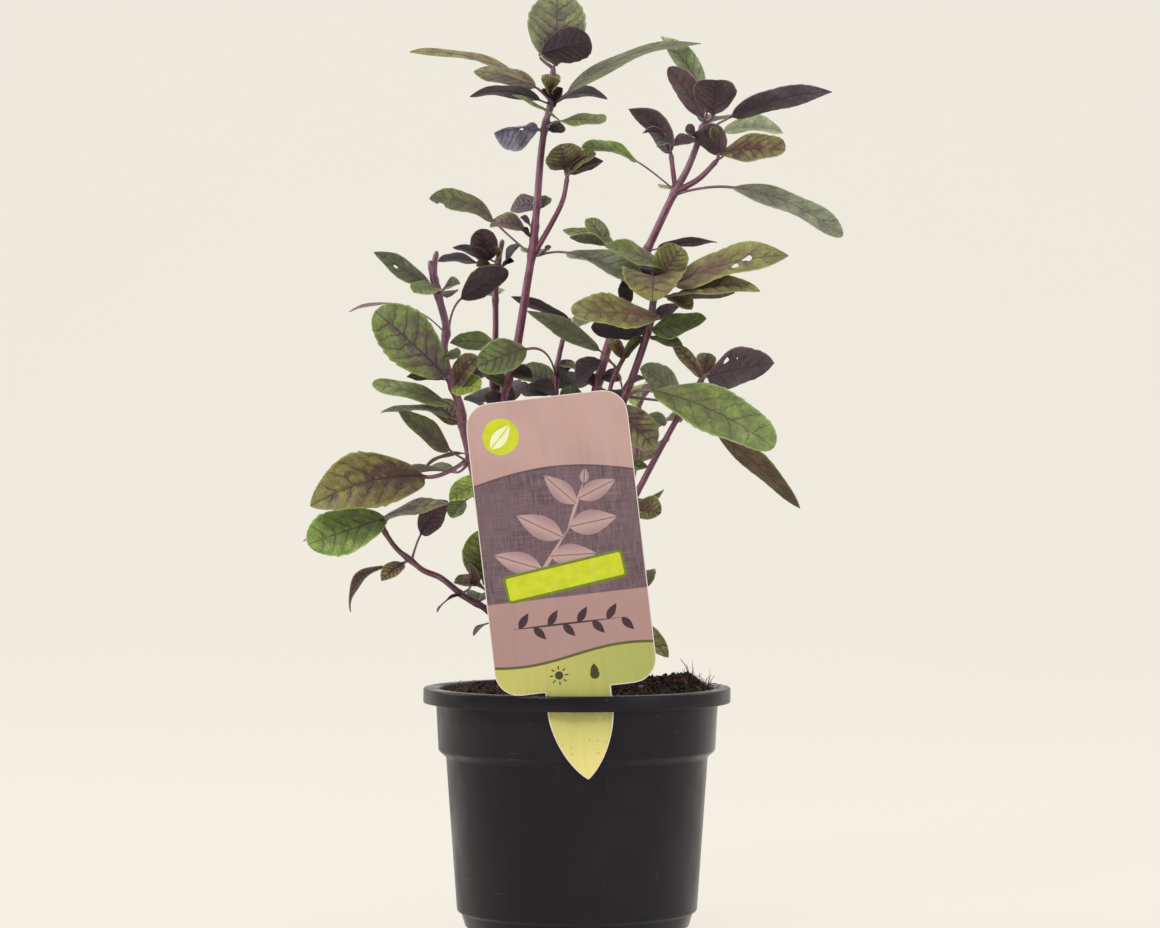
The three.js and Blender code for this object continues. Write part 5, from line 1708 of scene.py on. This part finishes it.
stem("leafy_stem_tall_left", [
    shoot(2.5, 1.3, [
        (-14, 6, 84), (-14, 6, 108), (-19, 7, 140), (-27, 8, 180), (-32, 8, 212), (-31, 8, 226),
        (-27, 7, 238), (-24, 6, 254), (-21, 5, 273), (-19, 4, 285), (-17, 3, 305), (-15, 2, 329),
        (-13, 1, 341), (-11, 1, 348), (-10, 0, 364),
    ]),
    shoot(1.3, 1.0, [(-18, 4, 285), (-11, 2, 297), (-6, -1, 307), (-4, -2, 317)]),
], [
    leaf((-9, 0, 364), (-8, -5, 394), 25, 80, "grey", arch=0.06, fold=8, blunt=1),
    leaf((-15, -4, 369), (6, -10, 373), 16, -68, "dark", fold=8, stalk=(-10, 0, 363), blunt=1),
    leaf((-11, -1, 352), (-15, -7, 358), 9, 55, "olive", fold=25, blunt=0.9),
    leaf((-10.3, -1, 352.5), (-7, -6, 357), 8, 52, "olive", fold=25, blunt=0.9),
    leaf((-11, 2, 354), (-11, 6, 361), 9, 62, "olive", fold=20, blunt=0.9),
    leaf((-19, -1, 356), (-70, -16, 368), 16, 22, "bronze", fold=4, stalk=(-11, 1, 349)),
    leaf((-17, 3, 355), (-44, 12, 363), 14, 38, "mottled", arch=0.05, fold=5, stalk=(-11, 1, 349)),
    leaf((-15, -2, 349), (-45, -10, 350), 13, -18, "dark", arch=0.11, fold=3, stalk=(-11, 1, 348)),
    leaf((-5, 2, 352), (53, 13, 375), 17, 20, "deep", arch=0.095, fold=3, stalk=(-11, 1, 349), blunt=0.2),
    leaf((-8, 2, 349), (13, 10, 351), 10, -22, "dusk_painted_sheen", arch=0.17, fold=4),
    leaf((-11, -1, 347), (-15, -9, 352), 8, 50, "dark", blunt=0.8),
    leaf((-10.4, -1, 346.5), (-6, -5, 354), 8, 45, "dark", blunt=0.8),
    leaf((-8, -6, 341), (-27, -16, 350), 9, 26, "green", arch=0.04, fold=2, stalk=(-13, 1, 340)),
    leaf((-7, -7, 340), (12, -17, 339), 13, 30, "green", arch=0.03, fold=2, stalk=(-13.4, 0.6, 338),
         blunt=1, holes=[(0.5, 0, 0.9)]),
    leaf((-16, 0, 337), (-35, -6, 335), 19, -45, "violet_painted_sheen", fold=-42, blunt=1, holes=[(0.37, 0, 1)]),
    leaf((-12, 2, 337), (-5, 5, 338), 7, 60, "dark"),
    leaf((-5, -2, 320), (-7, -9, 330), 17, 62, "mottled", fold=12, blunt=1),
    leaf((-4, -1, 319), (8, -8, 326), 10, 48, "olive", fold=14, blunt=0.8),
    leaf((-3.2, -2.6, 318), (11, -8, 323), 9, -40, "dark", blunt=0.4),
    leaf((-4, 2, 319), (3, 10, 326), 9, 30, "purple", blunt=0.6),
    leaf((-35, -1, 298), (-62, -10, 307), 15, 40, "deep", arch=0.13, fold=6, stalk=(-19, 4, 284),
         blunt=0.7, holes=[(0.86, -0.95, 1.7)]),
    leaf((-15, 6, 305), (-28, 14, 305), 10, 62, "purple", blunt=0.8),
    leaf((-16, 5, 304), (-12, 9, 309), 6, 50, "deep", blunt=0.8),
    leaf((-22, 5, 295), (-37, 8, 297), 12, 38, "mottled", arch=0.12, stalk=(-19, 4, 287), blunt=0.8),
    leaf((-20, 4, 297), (-24, 2, 300), 5, 40, "purple"),
    leaf((-20, 4, 292), (-24, 2, 295), 5, 40, "dark"),
    leaf((-15, 2, 284), (-11, -4, 287), 5, 45, "dark"),
    leaf((-5, -1, 285), (29, -17, 269), 18, 28, "grey", arch=0.06, stalk=(-17, 4, 284), blunt=0.7),
    leaf((-18, 14, 285), (-18, 46, 288), 13, 2, "green", arch=0.04, fold=5, stalk=(-18, 5, 284)),
    leaf((-25, 20, 206), (-36, 48, 209), 18, 6, "green", arch=0.16, stalk=(-31, 8, 203)),
    leaf((-30, 8, 229), (-40, 2, 234), 8, 58, "deep"),
    leaf((-28, 8, 235), (-19, 3, 232), 8, 58, "dark"),
    leaf((-31, 8, 220), (-40, 5, 224), 9, 60, "dark"),
])
stem("leafy_stem_tall_right", [
    shoot(2.6, 1.3, [
        (-7, 3, 84), (-7, 3, 108), (-3, 6, 150), (3, 10, 190), (8, 12, 226), (14, 13, 248),
        (21, 13, 268), (31, 12, 289), (42, 12, 312), (47, 12, 321), (51, 12, 331), (54, 12, 341),
    ]),
    shoot(1.2, 1.0, [(42, 12, 313), (41, 10, 320), (40, 9, 328)]),
    shoot(1.4, 1.1, [(43, 12, 312), (52, 10, 317), (60, 8, 325)]),
], [
    leaf((26, 8, 324), (2, 0, 329), 14, 32, "bright", stalk=(42, 12, 312), blunt=0.8),
    leaf((40, 9, 327), (22, 3, 346), 13, -30, "purple", arch=0.19, fold=14, blunt=0.2),
    leaf((37, 9, 336), (28, 4, 336), 6, -28, "purple", arch=0.1),
    leaf((39, 8, 332), (34, 3, 330), 4, 30, "grey"),
    leaf((61, 8, 328), (88, -3, 328), 19, 44, "mottled", arch=0.05, fold=6, stalk=(60, 8, 325), blunt=1),
    leaf((62, 10, 337), (88, 21, 338), 14, 40, "pale", stalk=(54, 12, 339), blunt=1),
    leaf((62, 8, 327), (52, 1, 337), 15, -50, "purple", fold=32, blunt=0.8),
    leaf((65, 4, 313), (111.6, -10, 291), 21, 26, "grey", fold=4, stalk=(43, 12, 311), blunt=0.9),
    leaf((54, 10, 343), (39, 4, 364), 13, -36, "purple", arch=0.03, blunt=0.7),
    leaf((54, 15, 355), (36, 21, 379), 12, 55, "pale", fold=30, stalk=(54, 12, 339), blunt=0.2),
    leaf((58, 9, 344), (59, 0, 358), 19, -60, "purple", fold=10, blunt=1),
    leaf((65, 9, 343), (108, 0, 353), 15, -34, "dusk_painted_sheen", arch=0.075, fold=4, stalk=(54, 12, 337),
         blunt=0.2),
    leaf((51, 10, 335), (46, 5, 337), 8, 60, "purple", blunt=1),
    leaf((51, 12, 334), (41, 9, 331), 8, 40, "purple"),
    leaf((58, 4, 334), (57, 0, 338), 5, 60, "olive", blunt=1),
    leaf((55, 14, 341), (63, 34, 345), 15, 14, "deep", fold=8),
    leaf((34, 9, 287), (59, -6, 289), 10, -20, "purple", arch=0.05, fold=3, stalk=(30, 12, 287),
         blunt=0.3),
    leaf((42, 22, 313), (42, 50, 316), 14, 2, "olive", arch=0.05, fold=5, stalk=(42, 12, 311)),
    leaf((24, 24, 271), (32, 54, 274), 18, 4, "deep", fold=8, stalk=(21, 13, 268)),
    leaf((14, 20, 208), (38, 44, 212), 20, 14, "green", arch=0.16, stalk=(6, 12, 210)),
    leaf((9, 13, 229), (-1, 9, 234), 8, 55, "dark"),
    leaf((10, 13, 233), (19, 9, 231), 8, 55, "purple"),
])
stem("leafy_stem_left", [
    shoot(2.2, 1.6, [
        (-22, 2, 84), (-22, 2, 108), (-30, -2, 140), (-40, -5, 175), (-45, -7, 199), (-48, -8, 211),
        (-49, -9, 219), (-54, -9, 233), (-56, -9, 244), (-55, -9, 252), (-58, -9, 265), (-62, -9, 281),
    ]),
    shoot(1.4, 1.3, [(-60, -9, 273), (-60, -9, 279), (-59, -9, 285)]),
], [
    leaf((-61, -10, 269), (-85, -18, 284), 13, 42, "deep", arch=0.02, fold=4, blunt=0.4,
         holes=[(0.63, -0.15, 1.3)]),
    leaf((-57, -11, 269), (-68, -24, 267), 13, 34, "green", fold=5, blunt=0.9),
    leaf((-57, -10, 268), (-49, -16, 271), 9, 42, "mottled"),
    leaf((-58, -6, 266), (-56, 23, 267), 13, 0, "dark", fold=6),
    leaf((-64, -12, 258), (-95, -22, 259), 10, 9, "purple", arch=0.13, fold=2, stalk=(-55, -9, 250)),
    leaf((-55, -13, 232), (-84, -26, 259), 24, 66, "veined", arch=0.04, fold=8, blunt=1),
    leaf((-56, -9, 231), (-71, -18, 232), 12, -28, "mottled", fold=8),
    leaf((-53, -6, 220), (-86, -12, 229), 15, 30, "green", arch=0.03, fold=4, stalk=(-48, -8, 216),
         blunt=1),
    leaf((-53, -10, 215), (-82, -17, 217), 12, 18, "deep", arch=0.1, fold=3, stalk=(-47, -8, 213),
         blunt=0.3),
    leaf((-53, -13, 201), (-74, -28, 217), 14, 48, "deep", arch=0.01, fold=6, stalk=(-45, -8, 196),
         blunt=0.4),
    leaf((-50, -4, 212), (-61, 9, 221), 13, 50, "bronze"),
    leaf((-51, -14, 228), (-41, -26, 240), 12, 62, "mottled", fold=22, blunt=0.9),
    leaf((-52, -14, 227), (-40, -27, 227), 12, 58, "lime", fold=10, blunt=1),
    leaf((-56, -13, 240), (-49, -22, 240), 8, 55, "deep", blunt=1),
    leaf((-49, -6, 265), (-29, -4, 277), 14, -52, "dark", fold=8, stalk=(-54, -9, 251), blunt=0.8),
    leaf((-63, -18, 190), (-110, -38, 178), 29, 52, "bronze", arch=0.12, fold=8, stalk=(-45, -7, 198)),
    leaf((-39, -22, 147), (-40, -30, 168), 17, 62, "green", fold=10, blunt=0.8),
    leaf((-38, -14, 188), (-53, -24, 180), 12, 52, "lime"),
    leaf((-47, -12, 180), (-53, -14, 173), 9, 50, "green", blunt=0.8),
    leaf((-48, -10, 200), (-64, -12, 194), 7, -14, "grey", arch=0.1, fold=3, stalk=(-44, -8, 199)),
    leaf((-56, 3, 233), (-72, 30, 238), 16, 0, "green", stalk=(-55, -8, 234)),
    leaf((-52, 2, 192), (-78, 30, 187), 20, 0, "deep", stalk=(-46, -7, 196)),
])
stem("leafy_stem_slender", [
    shoot(1.7, 1.2, [
        (-20, 10, 84), (-20, 10, 108), (-27, 14, 145), (-33, 18, 190), (-36, 22, 229), (-35, 23, 252),
        (-35, 24, 270), (-34, 24, 282), (-32, 24, 292),
    ]),
], [
    leaf((-39, 21, 282), (-41, 15, 296), 13, 68, "purple", fold=22, blunt=1),
    leaf((-37, 20, 283), (-53, 14, 288), 9, -24, "dusk_painted_sheen", fold=5),
    leaf((-43, 24, 282), (-60, 31, 283), 11, -24, "dusk_painted_sheen", arch=0.1, fold=4, stalk=(-34, 24, 281)),
    leaf((-34, 20, 282), (-32, 13, 286), 9, 62, "olive", fold=22, blunt=0.9),
    leaf((-31, 21, 281), (-24, 14, 289), 8, 42, "dark"),
    leaf((-36, 20, 280), (-43, 14, 280), 7, 45, "mottled"),
    leaf((-33, 20, 279), (-27, 14, 282), 6, 45, "dark"),
    leaf((-34, 18, 246), (-54, 8, 247), 13, 48, "bright", arch=0.06, fold=6, stalk=(-35, 22, 244),
         blunt=0.2),
    leaf((-37, 24, 222), (-45, 34, 226), 10, 40, "dark"),
    leaf((-36, 33, 268), (-42, 56, 271), 15, 4, "green", fold=6, stalk=(-35, 24, 266)),
    leaf((-31, 34, 235), (-29, 58, 237), 15, 2, "deep", fold=6, stalk=(-36, 22, 231)),
    leaf((-36, 21, 236), (-47, 14, 232), 9, 55, "dark"),
    leaf((-35, 23, 240), (-26, 30, 236), 9, 50, "deep"),
    leaf((-36, 22, 229), (-27, 18, 222), 9, 60, "dark"),
])
stem("leafy_stem_inner", [
    shoot(1.7, 1.0, [
        (-6, 13, 84), (-6, 13, 108), (-5, 16, 150), (-8, 19, 200), (-9, 20, 232), (-6, 20, 249),
        (-3, 20, 258),
    ]),
], [
    leaf((-3, 20, 257), (-28, 14, 267), 10, -22, "purple", arch=0.02, fold=3),
    leaf((-21, -3, 244), (-42, -8, 236), 16, 70, "green", fold=8, stalk=(-9, 20, 233), blunt=0.8),
    leaf((-10, 21, 229), (-26, 30, 235), 15, 42, "deep"),
    leaf((-8, 20, 228), (5, 30, 231), 13, 44, "dark"),
    leaf((-7, 18, 238), (-1, 11, 236), 6, 40, "olive"),
    leaf((1, 28, 255), (8, 50, 258), 12, 2, "green", fold=5, stalk=(-4, 20, 255)),
    leaf((-4, 30, 196), (8, 56, 200), 20, 4, "green", arch=0.14, stalk=(-8, 19, 192)),
    leaf((-9, 19, 226), (-19, 12, 229), 9, 60, "dark"),
    leaf((-8, 19, 222), (2, 13, 226), 9, 60, "deep"),
    leaf((-9, 20, 232), (-1, 14, 239), 8, 52, "dark"),
    leaf((-9, 21, 227), (-24, 27, 226), 9, 60, "dark"),
    leaf((-8, 22, 219), (6, 28, 224), 9, 60, "dark"),
])
stem("leafy_stem_middle_right", [
    shoot(2.0, 1.5, [
        (-9, -5, 84), (-9, -5, 108), (-4, -7, 140), (6, -9, 180), (15, -10, 207), (20, -11, 224),
        (23, -11, 231), (30, -12, 252), (32, -12, 263), (33, -12, 278),
    ]),
    shoot(1.1, 0.8, [(18, -11, 218), (14, -8, 226), (17, -6, 235), (20, -5, 242), (17, -4, 248)]),
], [
    leaf((16, 2, 289), (-6, 8, 295), 11, 34, "green", arch=0.02, fold=6, stalk=(33, -12, 277), blunt=0.3),
    leaf((13, 3, 288), (4, 12, 300), 9, 58, "green", fold=22, stalk=(33, -12, 277), blunt=0.3),
    leaf((12, 0, 288), (-3, -7, 291), 7, -34, "green", fold=4, stalk=(33, -12, 277)),
    leaf((37, -13, 278), (12, -22, 286), 17, 36, "green", arch=0.04, fold=6, blunt=0.8),
    leaf((33, -15, 271), (31, -49, 262), 27, 14, "bronze", arch=0.18, fold=14, blunt=0.8),
    leaf((35, -14, 272), (44, -18, 286), 16, 66, "olive", blunt=1),
    leaf((40, -15, 270), (88, -27, 282), 25, 36, "olive", arch=0.075, fold=5, stalk=(33, -12, 270),
         blunt=0.4, holes=[(0.67, -0.05, 2.2), (0.57, 0.32, 2)]),
    leaf((41, -19, 266), (76, -31, 267), 15, 34, "olive", arch=0.11, fold=5, stalk=(33, -12, 267),
         blunt=0.4),
    leaf((41, -12, 266), (66, -20, 267), 8, -40, "mottled", arch=0.02, fold=3, stalk=(33, -12, 267)),
    leaf((38, -15, 266), (48, -22, 260), 9, 46, "olive", blunt=0.8),
    leaf((34, -15, 257), (-2, -31, 258), 23, 42, "olive", arch=0.03, fold=5, blunt=1),
    leaf((31, -12, 253), (6, -11, 253), 16, -32, "dark", arch=-0.06, fold=3, blunt=0.8),
    leaf((31, -13, 252), (54, -23, 256), 17, 40, "bright", arch=-0.03, fold=3, blunt=0.4),
    leaf((33, -10, 256), (43, -6, 262), 8, 40, "purple"),
    leaf((10, -4, 243), (-21, -4, 260), 12, 38, "deep", arch=0.03, fold=3, stalk=(20, -11, 223),
         blunt=0.3),
    leaf((10, -9, 239), (0, -16, 230), 12, -52, "dark", blunt=0.8),
    leaf((31, -24, 226), (81, -42, 202), 27, 42, "green", fold=6, stalk=(21, -11, 224), blunt=1),
    leaf((45, -8, 224), (27, 7, 236), 15, -58, "pale", arch=0.01, fold=5, stalk=(20, -11, 224),
         blunt=0.7),
    leaf((22, -13, 228), (28, -20, 231), 6, 45, "purple"),
    leaf((19, -5, 240), (14, -1, 249), 6, 50, "olive"),
    leaf((20, -5, 240), (28, -10, 249), 6, 50, "green"),
    leaf((31, -13, 249), (44, -24, 244), 9, 26, "deep", arch=0.04, fold=3),
    leaf((15, -22, 219), (32, -27, 202), 17, 55, "mottled", fold=8, stalk=(20, -11, 220), blunt=0.8),
    leaf((12, -11, 193), (30, -13, 194), 9, 45, "green"),
    leaf((42, 0, 272), (55, 30, 275), 18, 0, "deep", fold=6, stalk=(33, -12, 270)),
    leaf((15, -18, 222), (12, -31, 226), 11, 20, "dark", stalk=(20, -11, 222)),
    leaf((21, -7, 262), (20, -7, 273), 7, 60, "dark", fold=20, stalk=(27, -11, 253)),
    leaf((33, -10, 270), (28, -3, 280), 9, 70, "dark"),
])
stem("leafy_stem_low_right", [
    shoot(1.8, 1.1, [
        (-1, -9, 84), (-1, -9, 108), (4, -12, 135), (14, -17, 162), (26, -20, 185), (35, -21, 202),
        (44, -22, 218), (53, -22, 232),
    ]),
], [
    leaf((54, -20, 232), (83, -8, 238), 21, -52, "purple", arch=0.02, fold=5, blunt=0.4,
         holes=[(0.29, 0.6, 1.6), (0.42, 0.52, 1.2)]),
    leaf((52, -21, 231), (40, -14, 246), 7, 40, "mottled", fold=5),
    leaf((53, -21, 232), (55, -11, 242), 9, 45, "mottled"),
    leaf((58, -22, 209), (93, -24, 177), 13, -32, "olive", arch=0.04, fold=4, stalk=(44, -22, 217),
         blunt=0.3),
    leaf((45, -23, 217), (49, -30, 222), 6, 40, "dark"),
    leaf((47, -12, 217), (66, 12, 221), 18, 2, "green", fold=6, stalk=(43, -22, 215)),
    leaf((22, -18, 175), (35, -26, 175), 14, 50, "olive", blunt=0.9),
    leaf((11, -16, 127), (38, -27, 115), 15, 42, "olive", arch=0.16, stalk=(3, -11, 130)),
    leaf((19, -10, 172), (12, 16, 176), 16, 4, "deep", stalk=(17, -18, 167)),
])
stem("leafy_branch_low_left", [
    shoot(1.6, 1.0, [
        (-22, -7, 84), (-22, -7, 108), (-26, -11, 122), (-37, -17, 134), (-47, -20, 140), (-57, -22, 148),
        (-64, -23, 151), (-69, -23, 155), (-75, -24, 160), (-80, -24, 167), (-83, -24, 173),
    ]),
], [
    leaf((-79, -25, 173), (-111, -37, 162), 22, 58, "bright", arch=0.02, fold=6, blunt=1),
    leaf((-84, -19, 174), (-115, -10, 163), 13, 20, "dark", fold=4, stalk=(-80, -24, 168)),
    leaf((-81, -26, 173), (-53, -35, 179), 14, 28, "mottled", arch=0.04, fold=4),
    leaf((-65, -27, 166), (-54, -20, 180), 13, -52, "purple", fold=8, stalk=(-69, -23, 155), blunt=0.4),
    leaf((-72, -25, 154), (-81, -32, 147), 8, 50, "mottled"),
    leaf((-79, -26, 153), (-94, -31, 134), 11, -20, "mottled", arch=0.24, fold=4, stalk=(-70, -23, 155),
         blunt=0.3),
    leaf((-48, -21, 141), (-58, -29, 134), 7, -22, "dark", arch=0.12, fold=4),
    leaf((-38, -21, 143), (-51, -30, 146), 11, 34, "mottled"),
    leaf((-33, -13, 129), (-43, -25, 124), 7, -22, "dark", arch=0.12, fold=4),
    leaf((-82, -14, 169), (-99, 14, 166), 18, 4, "green", stalk=(-80, -24, 167)),
    leaf((-42, -8, 137), (-40, 18, 139), 13, 4, "deep", stalk=(-37, -17, 134)),
    leaf((-44, -26, 145), (-45, -40, 155), 9, 52, "mottled"),
])
stem("leafy_stem_back_left", [
    shoot(1.8, 1.2, [
        (-16, 19, 84), (-16, 19, 108), (-20, 30, 140), (-27, 44, 175), (-30, 53, 205), (-29, 56, 224),
    ]),
], [
    leaf((-22, 44, 151), (-28, 86, 150), 25, 4, "green", arch=0.18, stalk=(-21, 34, 150)),
    leaf((-27, 42, 156), (-38, 66, 152), 20, -8, "deep", arch=0.12, stalk=(-23, 36, 155)),
    leaf((-18, 46, 168), (2, 68, 167), 20, -8, "olive", arch=0.12, stalk=(-25, 40, 165)),
    leaf((-33, 54, 186), (-42, 80, 189), 19, -8, "green", arch=0.12, stalk=(-28, 47, 184)),
    leaf((-28, 64, 200), (-24, 98, 202), 24, 4, "deep", arch=0.18, stalk=(-30, 52, 198)),
    leaf((-22, 62, 212), (-2, 78, 216), 18, -10, "olive", arch=0.14, stalk=(-30, 54, 210)),
    leaf((-36, 58, 216), (-50, 66, 224), 15, -14, "dark"),
    leaf((-29, 58, 223), (-30, 74, 232), 12, -40, "dark", fold=26),
    leaf((-28, 55, 223), (-21, 48, 230), 9, 40, "dark", fold=24),
])
stem("leafy_stem_back_right", [
    shoot(1.9, 1.2, [
        (4, 11, 84), (4, 11, 108), (11, 24, 140), (20, 38, 172), (26, 48, 200), (27, 53, 222),
    ]),
], [
    leaf((14, 36, 140), (12, 78, 136), 25, 2, "deep", arch=0.18, stalk=(11, 25, 142)),
    leaf((18, 30, 146), (30, 54, 141), 20, -6, "green", arch=0.12, stalk=(13, 28, 148)),
    leaf((26, 42, 176), (32, 70, 177), 20, -6, "deep", arch=0.12, stalk=(20, 38, 174)),
    leaf((18, 50, 178), (4, 84, 180), 22, -8, "green", arch=0.16, stalk=(21, 40, 176)),
    leaf((28, 58, 196), (32, 94, 198), 24, 2, "olive", arch=0.18, stalk=(25, 47, 196)),
    leaf((32, 52, 210), (46, 68, 214), 18, -8, "green", arch=0.12, stalk=(27, 50, 208)),
    leaf((22, 56, 216), (10, 68, 224), 15, -16, "deep"),
    leaf((27, 54, 221), (30, 68, 231), 12, -42, "lime", fold=26),
    leaf((28, 52, 221), (34, 44, 229), 10, 42, "purple", fold=24),
])


# Hairs

HAIR_INPUTS = {
    "Density": "Float", "Shortest": "Float", "Longest": "Float", "Thickness": "Float", "Seed": "Int",
    "Finish": "Material",
}


def hair_tree():
    """Fine hairs that stand on a surface, each a three-sided spike."""
    tree = Tree("hair_tree", HAIR_INPUTS)
    source = tree.source
    roots = tree.points_on_bed()
    spike = tree.node("GeometryNodeMeshCone", {
        "Vertices": 3, "Radius Top": 0.0, "Radius Bottom": 1.0, "Depth": 1.0}, fill_type="NONE")
    length = tree.random_number(source["Shortest"], source["Longest"], 3)
    scale = tree.node("ShaderNodeCombineXYZ", {0: source["Thickness"], 1: source["Thickness"], 2: length})
    copies = tree.node("GeometryNodeInstanceOnPoints", {
        "Points": roots["Points"], "Instance": spike.outputs[0], "Rotation": roots["Rotation"],
        "Scale": scale.outputs[0]})
    lean = tree.random_vector((-0.5, -0.5, 0.0), (0.5, 0.5, 3.0), 4)
    leaning = tree.node("GeometryNodeRotateInstances", {0: copies.outputs[0], "Rotation": lean})
    tree.finish(leaning.outputs[0], 5)
    return tree


def make_hairs():
    """The down on the stems, one piece for each leafy stem."""
    tree = hair_tree()
    for number, wood in enumerate(STEMS_MADE):
        piece = tree.grow(wood.name.replace("stem_", "down_"), wood, {
            "Density": HAIR_DENSITY / MM ** 2, "Shortest": SHORTEST_HAIR * MM, "Longest": LONGEST_HAIR * MM,
            "Thickness": HAIR_RADIUS * MM, "Seed": HAIR_SEED + number, "Finish": STEM_HAIR,
        })
        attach(piece, "root")


# Stage, in metres

PAPER_FRONT = -2.6
PAPER_BEND = 1.2
PAPER_BEND_RADIUS = 1.4
PAPER_BEND_STEPS = 12
PAPER_TOP = 4.0
PAPER_HALF_WIDTH = 4.0
LIGHTS = [  # name, place, size, power in watts and colour
    ("key", (-0.75, -1.2, 1.55), (0.6, 0.6), 20.5, (1.0, 0.985, 0.96)),
    ("fill", (1.3, -1.1, 0.7), (0.8, 1.0), 8.5, (0.97, 0.98, 1.0)),
    ("left_strip", (-1.0, 0.35, 0.85), (0.25, 1.2), 10, (1, 1, 1)),
    ("right_strip", (1.0, 0.35, 0.85), (0.22, 1.2), 4.5, (1, 1, 1)),
    ("top", (0.1, 0.3, 1.7), (1.0, 1.0), 6, (1, 1, 1)),
]
LIGHTS_AIM = (0, 0, 0.18)
ROOM_LIGHT = "#f3efe6"
ROOM_STRENGTH = 0.31
BACKDROP = "#efebdf"


def make_floor():
    """A pale paper sweep: flat under the pot, and rising far behind it."""
    outline = [(PAPER_FRONT, 0.0), (PAPER_BEND, 0.0)]
    for k in range(1, PAPER_BEND_STEPS + 1):
        turn = k / PAPER_BEND_STEPS * math.pi / 2
        y = PAPER_BEND + PAPER_BEND_RADIUS * math.sin(turn)
        outline.append((y, PAPER_BEND_RADIUS * (1 - math.cos(turn))))
    outline.append((PAPER_BEND + PAPER_BEND_RADIUS, PAPER_TOP))
    points = []
    for y, z in outline:
        for x in (-PAPER_HALF_WIDTH, PAPER_HALF_WIDTH):
            points.append((x / MM, y / MM, z / MM))
    faces = [(2 * k, 2 * k + 1, 2 * k + 3, 2 * k + 2) for k in range(len(outline) - 1)]
    floor = new_object("studio_floor", points, faces, [STUDIO_PAPER])


def make_light(name, place, size, power, colour):
    """A rectangular light that faces the middle of the plant."""
    data = bpy.data.lights.new(name, "AREA")
    data.shape = "RECTANGLE"
    data.size, data.size_y = size
    data.energy = power
    data.color = colour
    light = placed(name, data)
    light.location = place
    light.rotation_euler = (Vector(LIGHTS_AIM) - Vector(place)).to_track_quat("-Z", "Y").to_euler()


def studio_world():
    """Soft light from all round. Beyond the paper the camera sees a plain tone like the paper's."""
    world = bpy.data.worlds.new("studio")
    world.use_nodes = True
    graph = Graph(world.node_tree)
    light = world.node_tree.nodes["Background"]
    light.inputs["Color"].default_value = paint(ROOM_LIGHT)
    light.inputs["Strength"].default_value = ROOM_STRENGTH
    wall = graph.node("Background", {"Color": paint(BACKDROP)})
    seen = graph.node("LightPath").outputs["Is Camera Ray"]
    mixed = graph.node("MixShader", {0: seen, 1: light.outputs[0], 2: wall.outputs[0]})
    graph.feed(world.node_tree.nodes["World Output"].inputs["Surface"], mixed.outputs[0])
    return world


def make_stage():
    """The paper sweep, the lights and the world."""
    make_floor()
    for name, place, size, power, colour in LIGHTS:
        make_light(name, place, size, power, colour)
    scene = bpy.context.scene
    scene.world = studio_world()
    scene.view_settings.view_transform = "Standard"


make_pot()
make_soil()
make_label()
make_hairs()
make_stage()
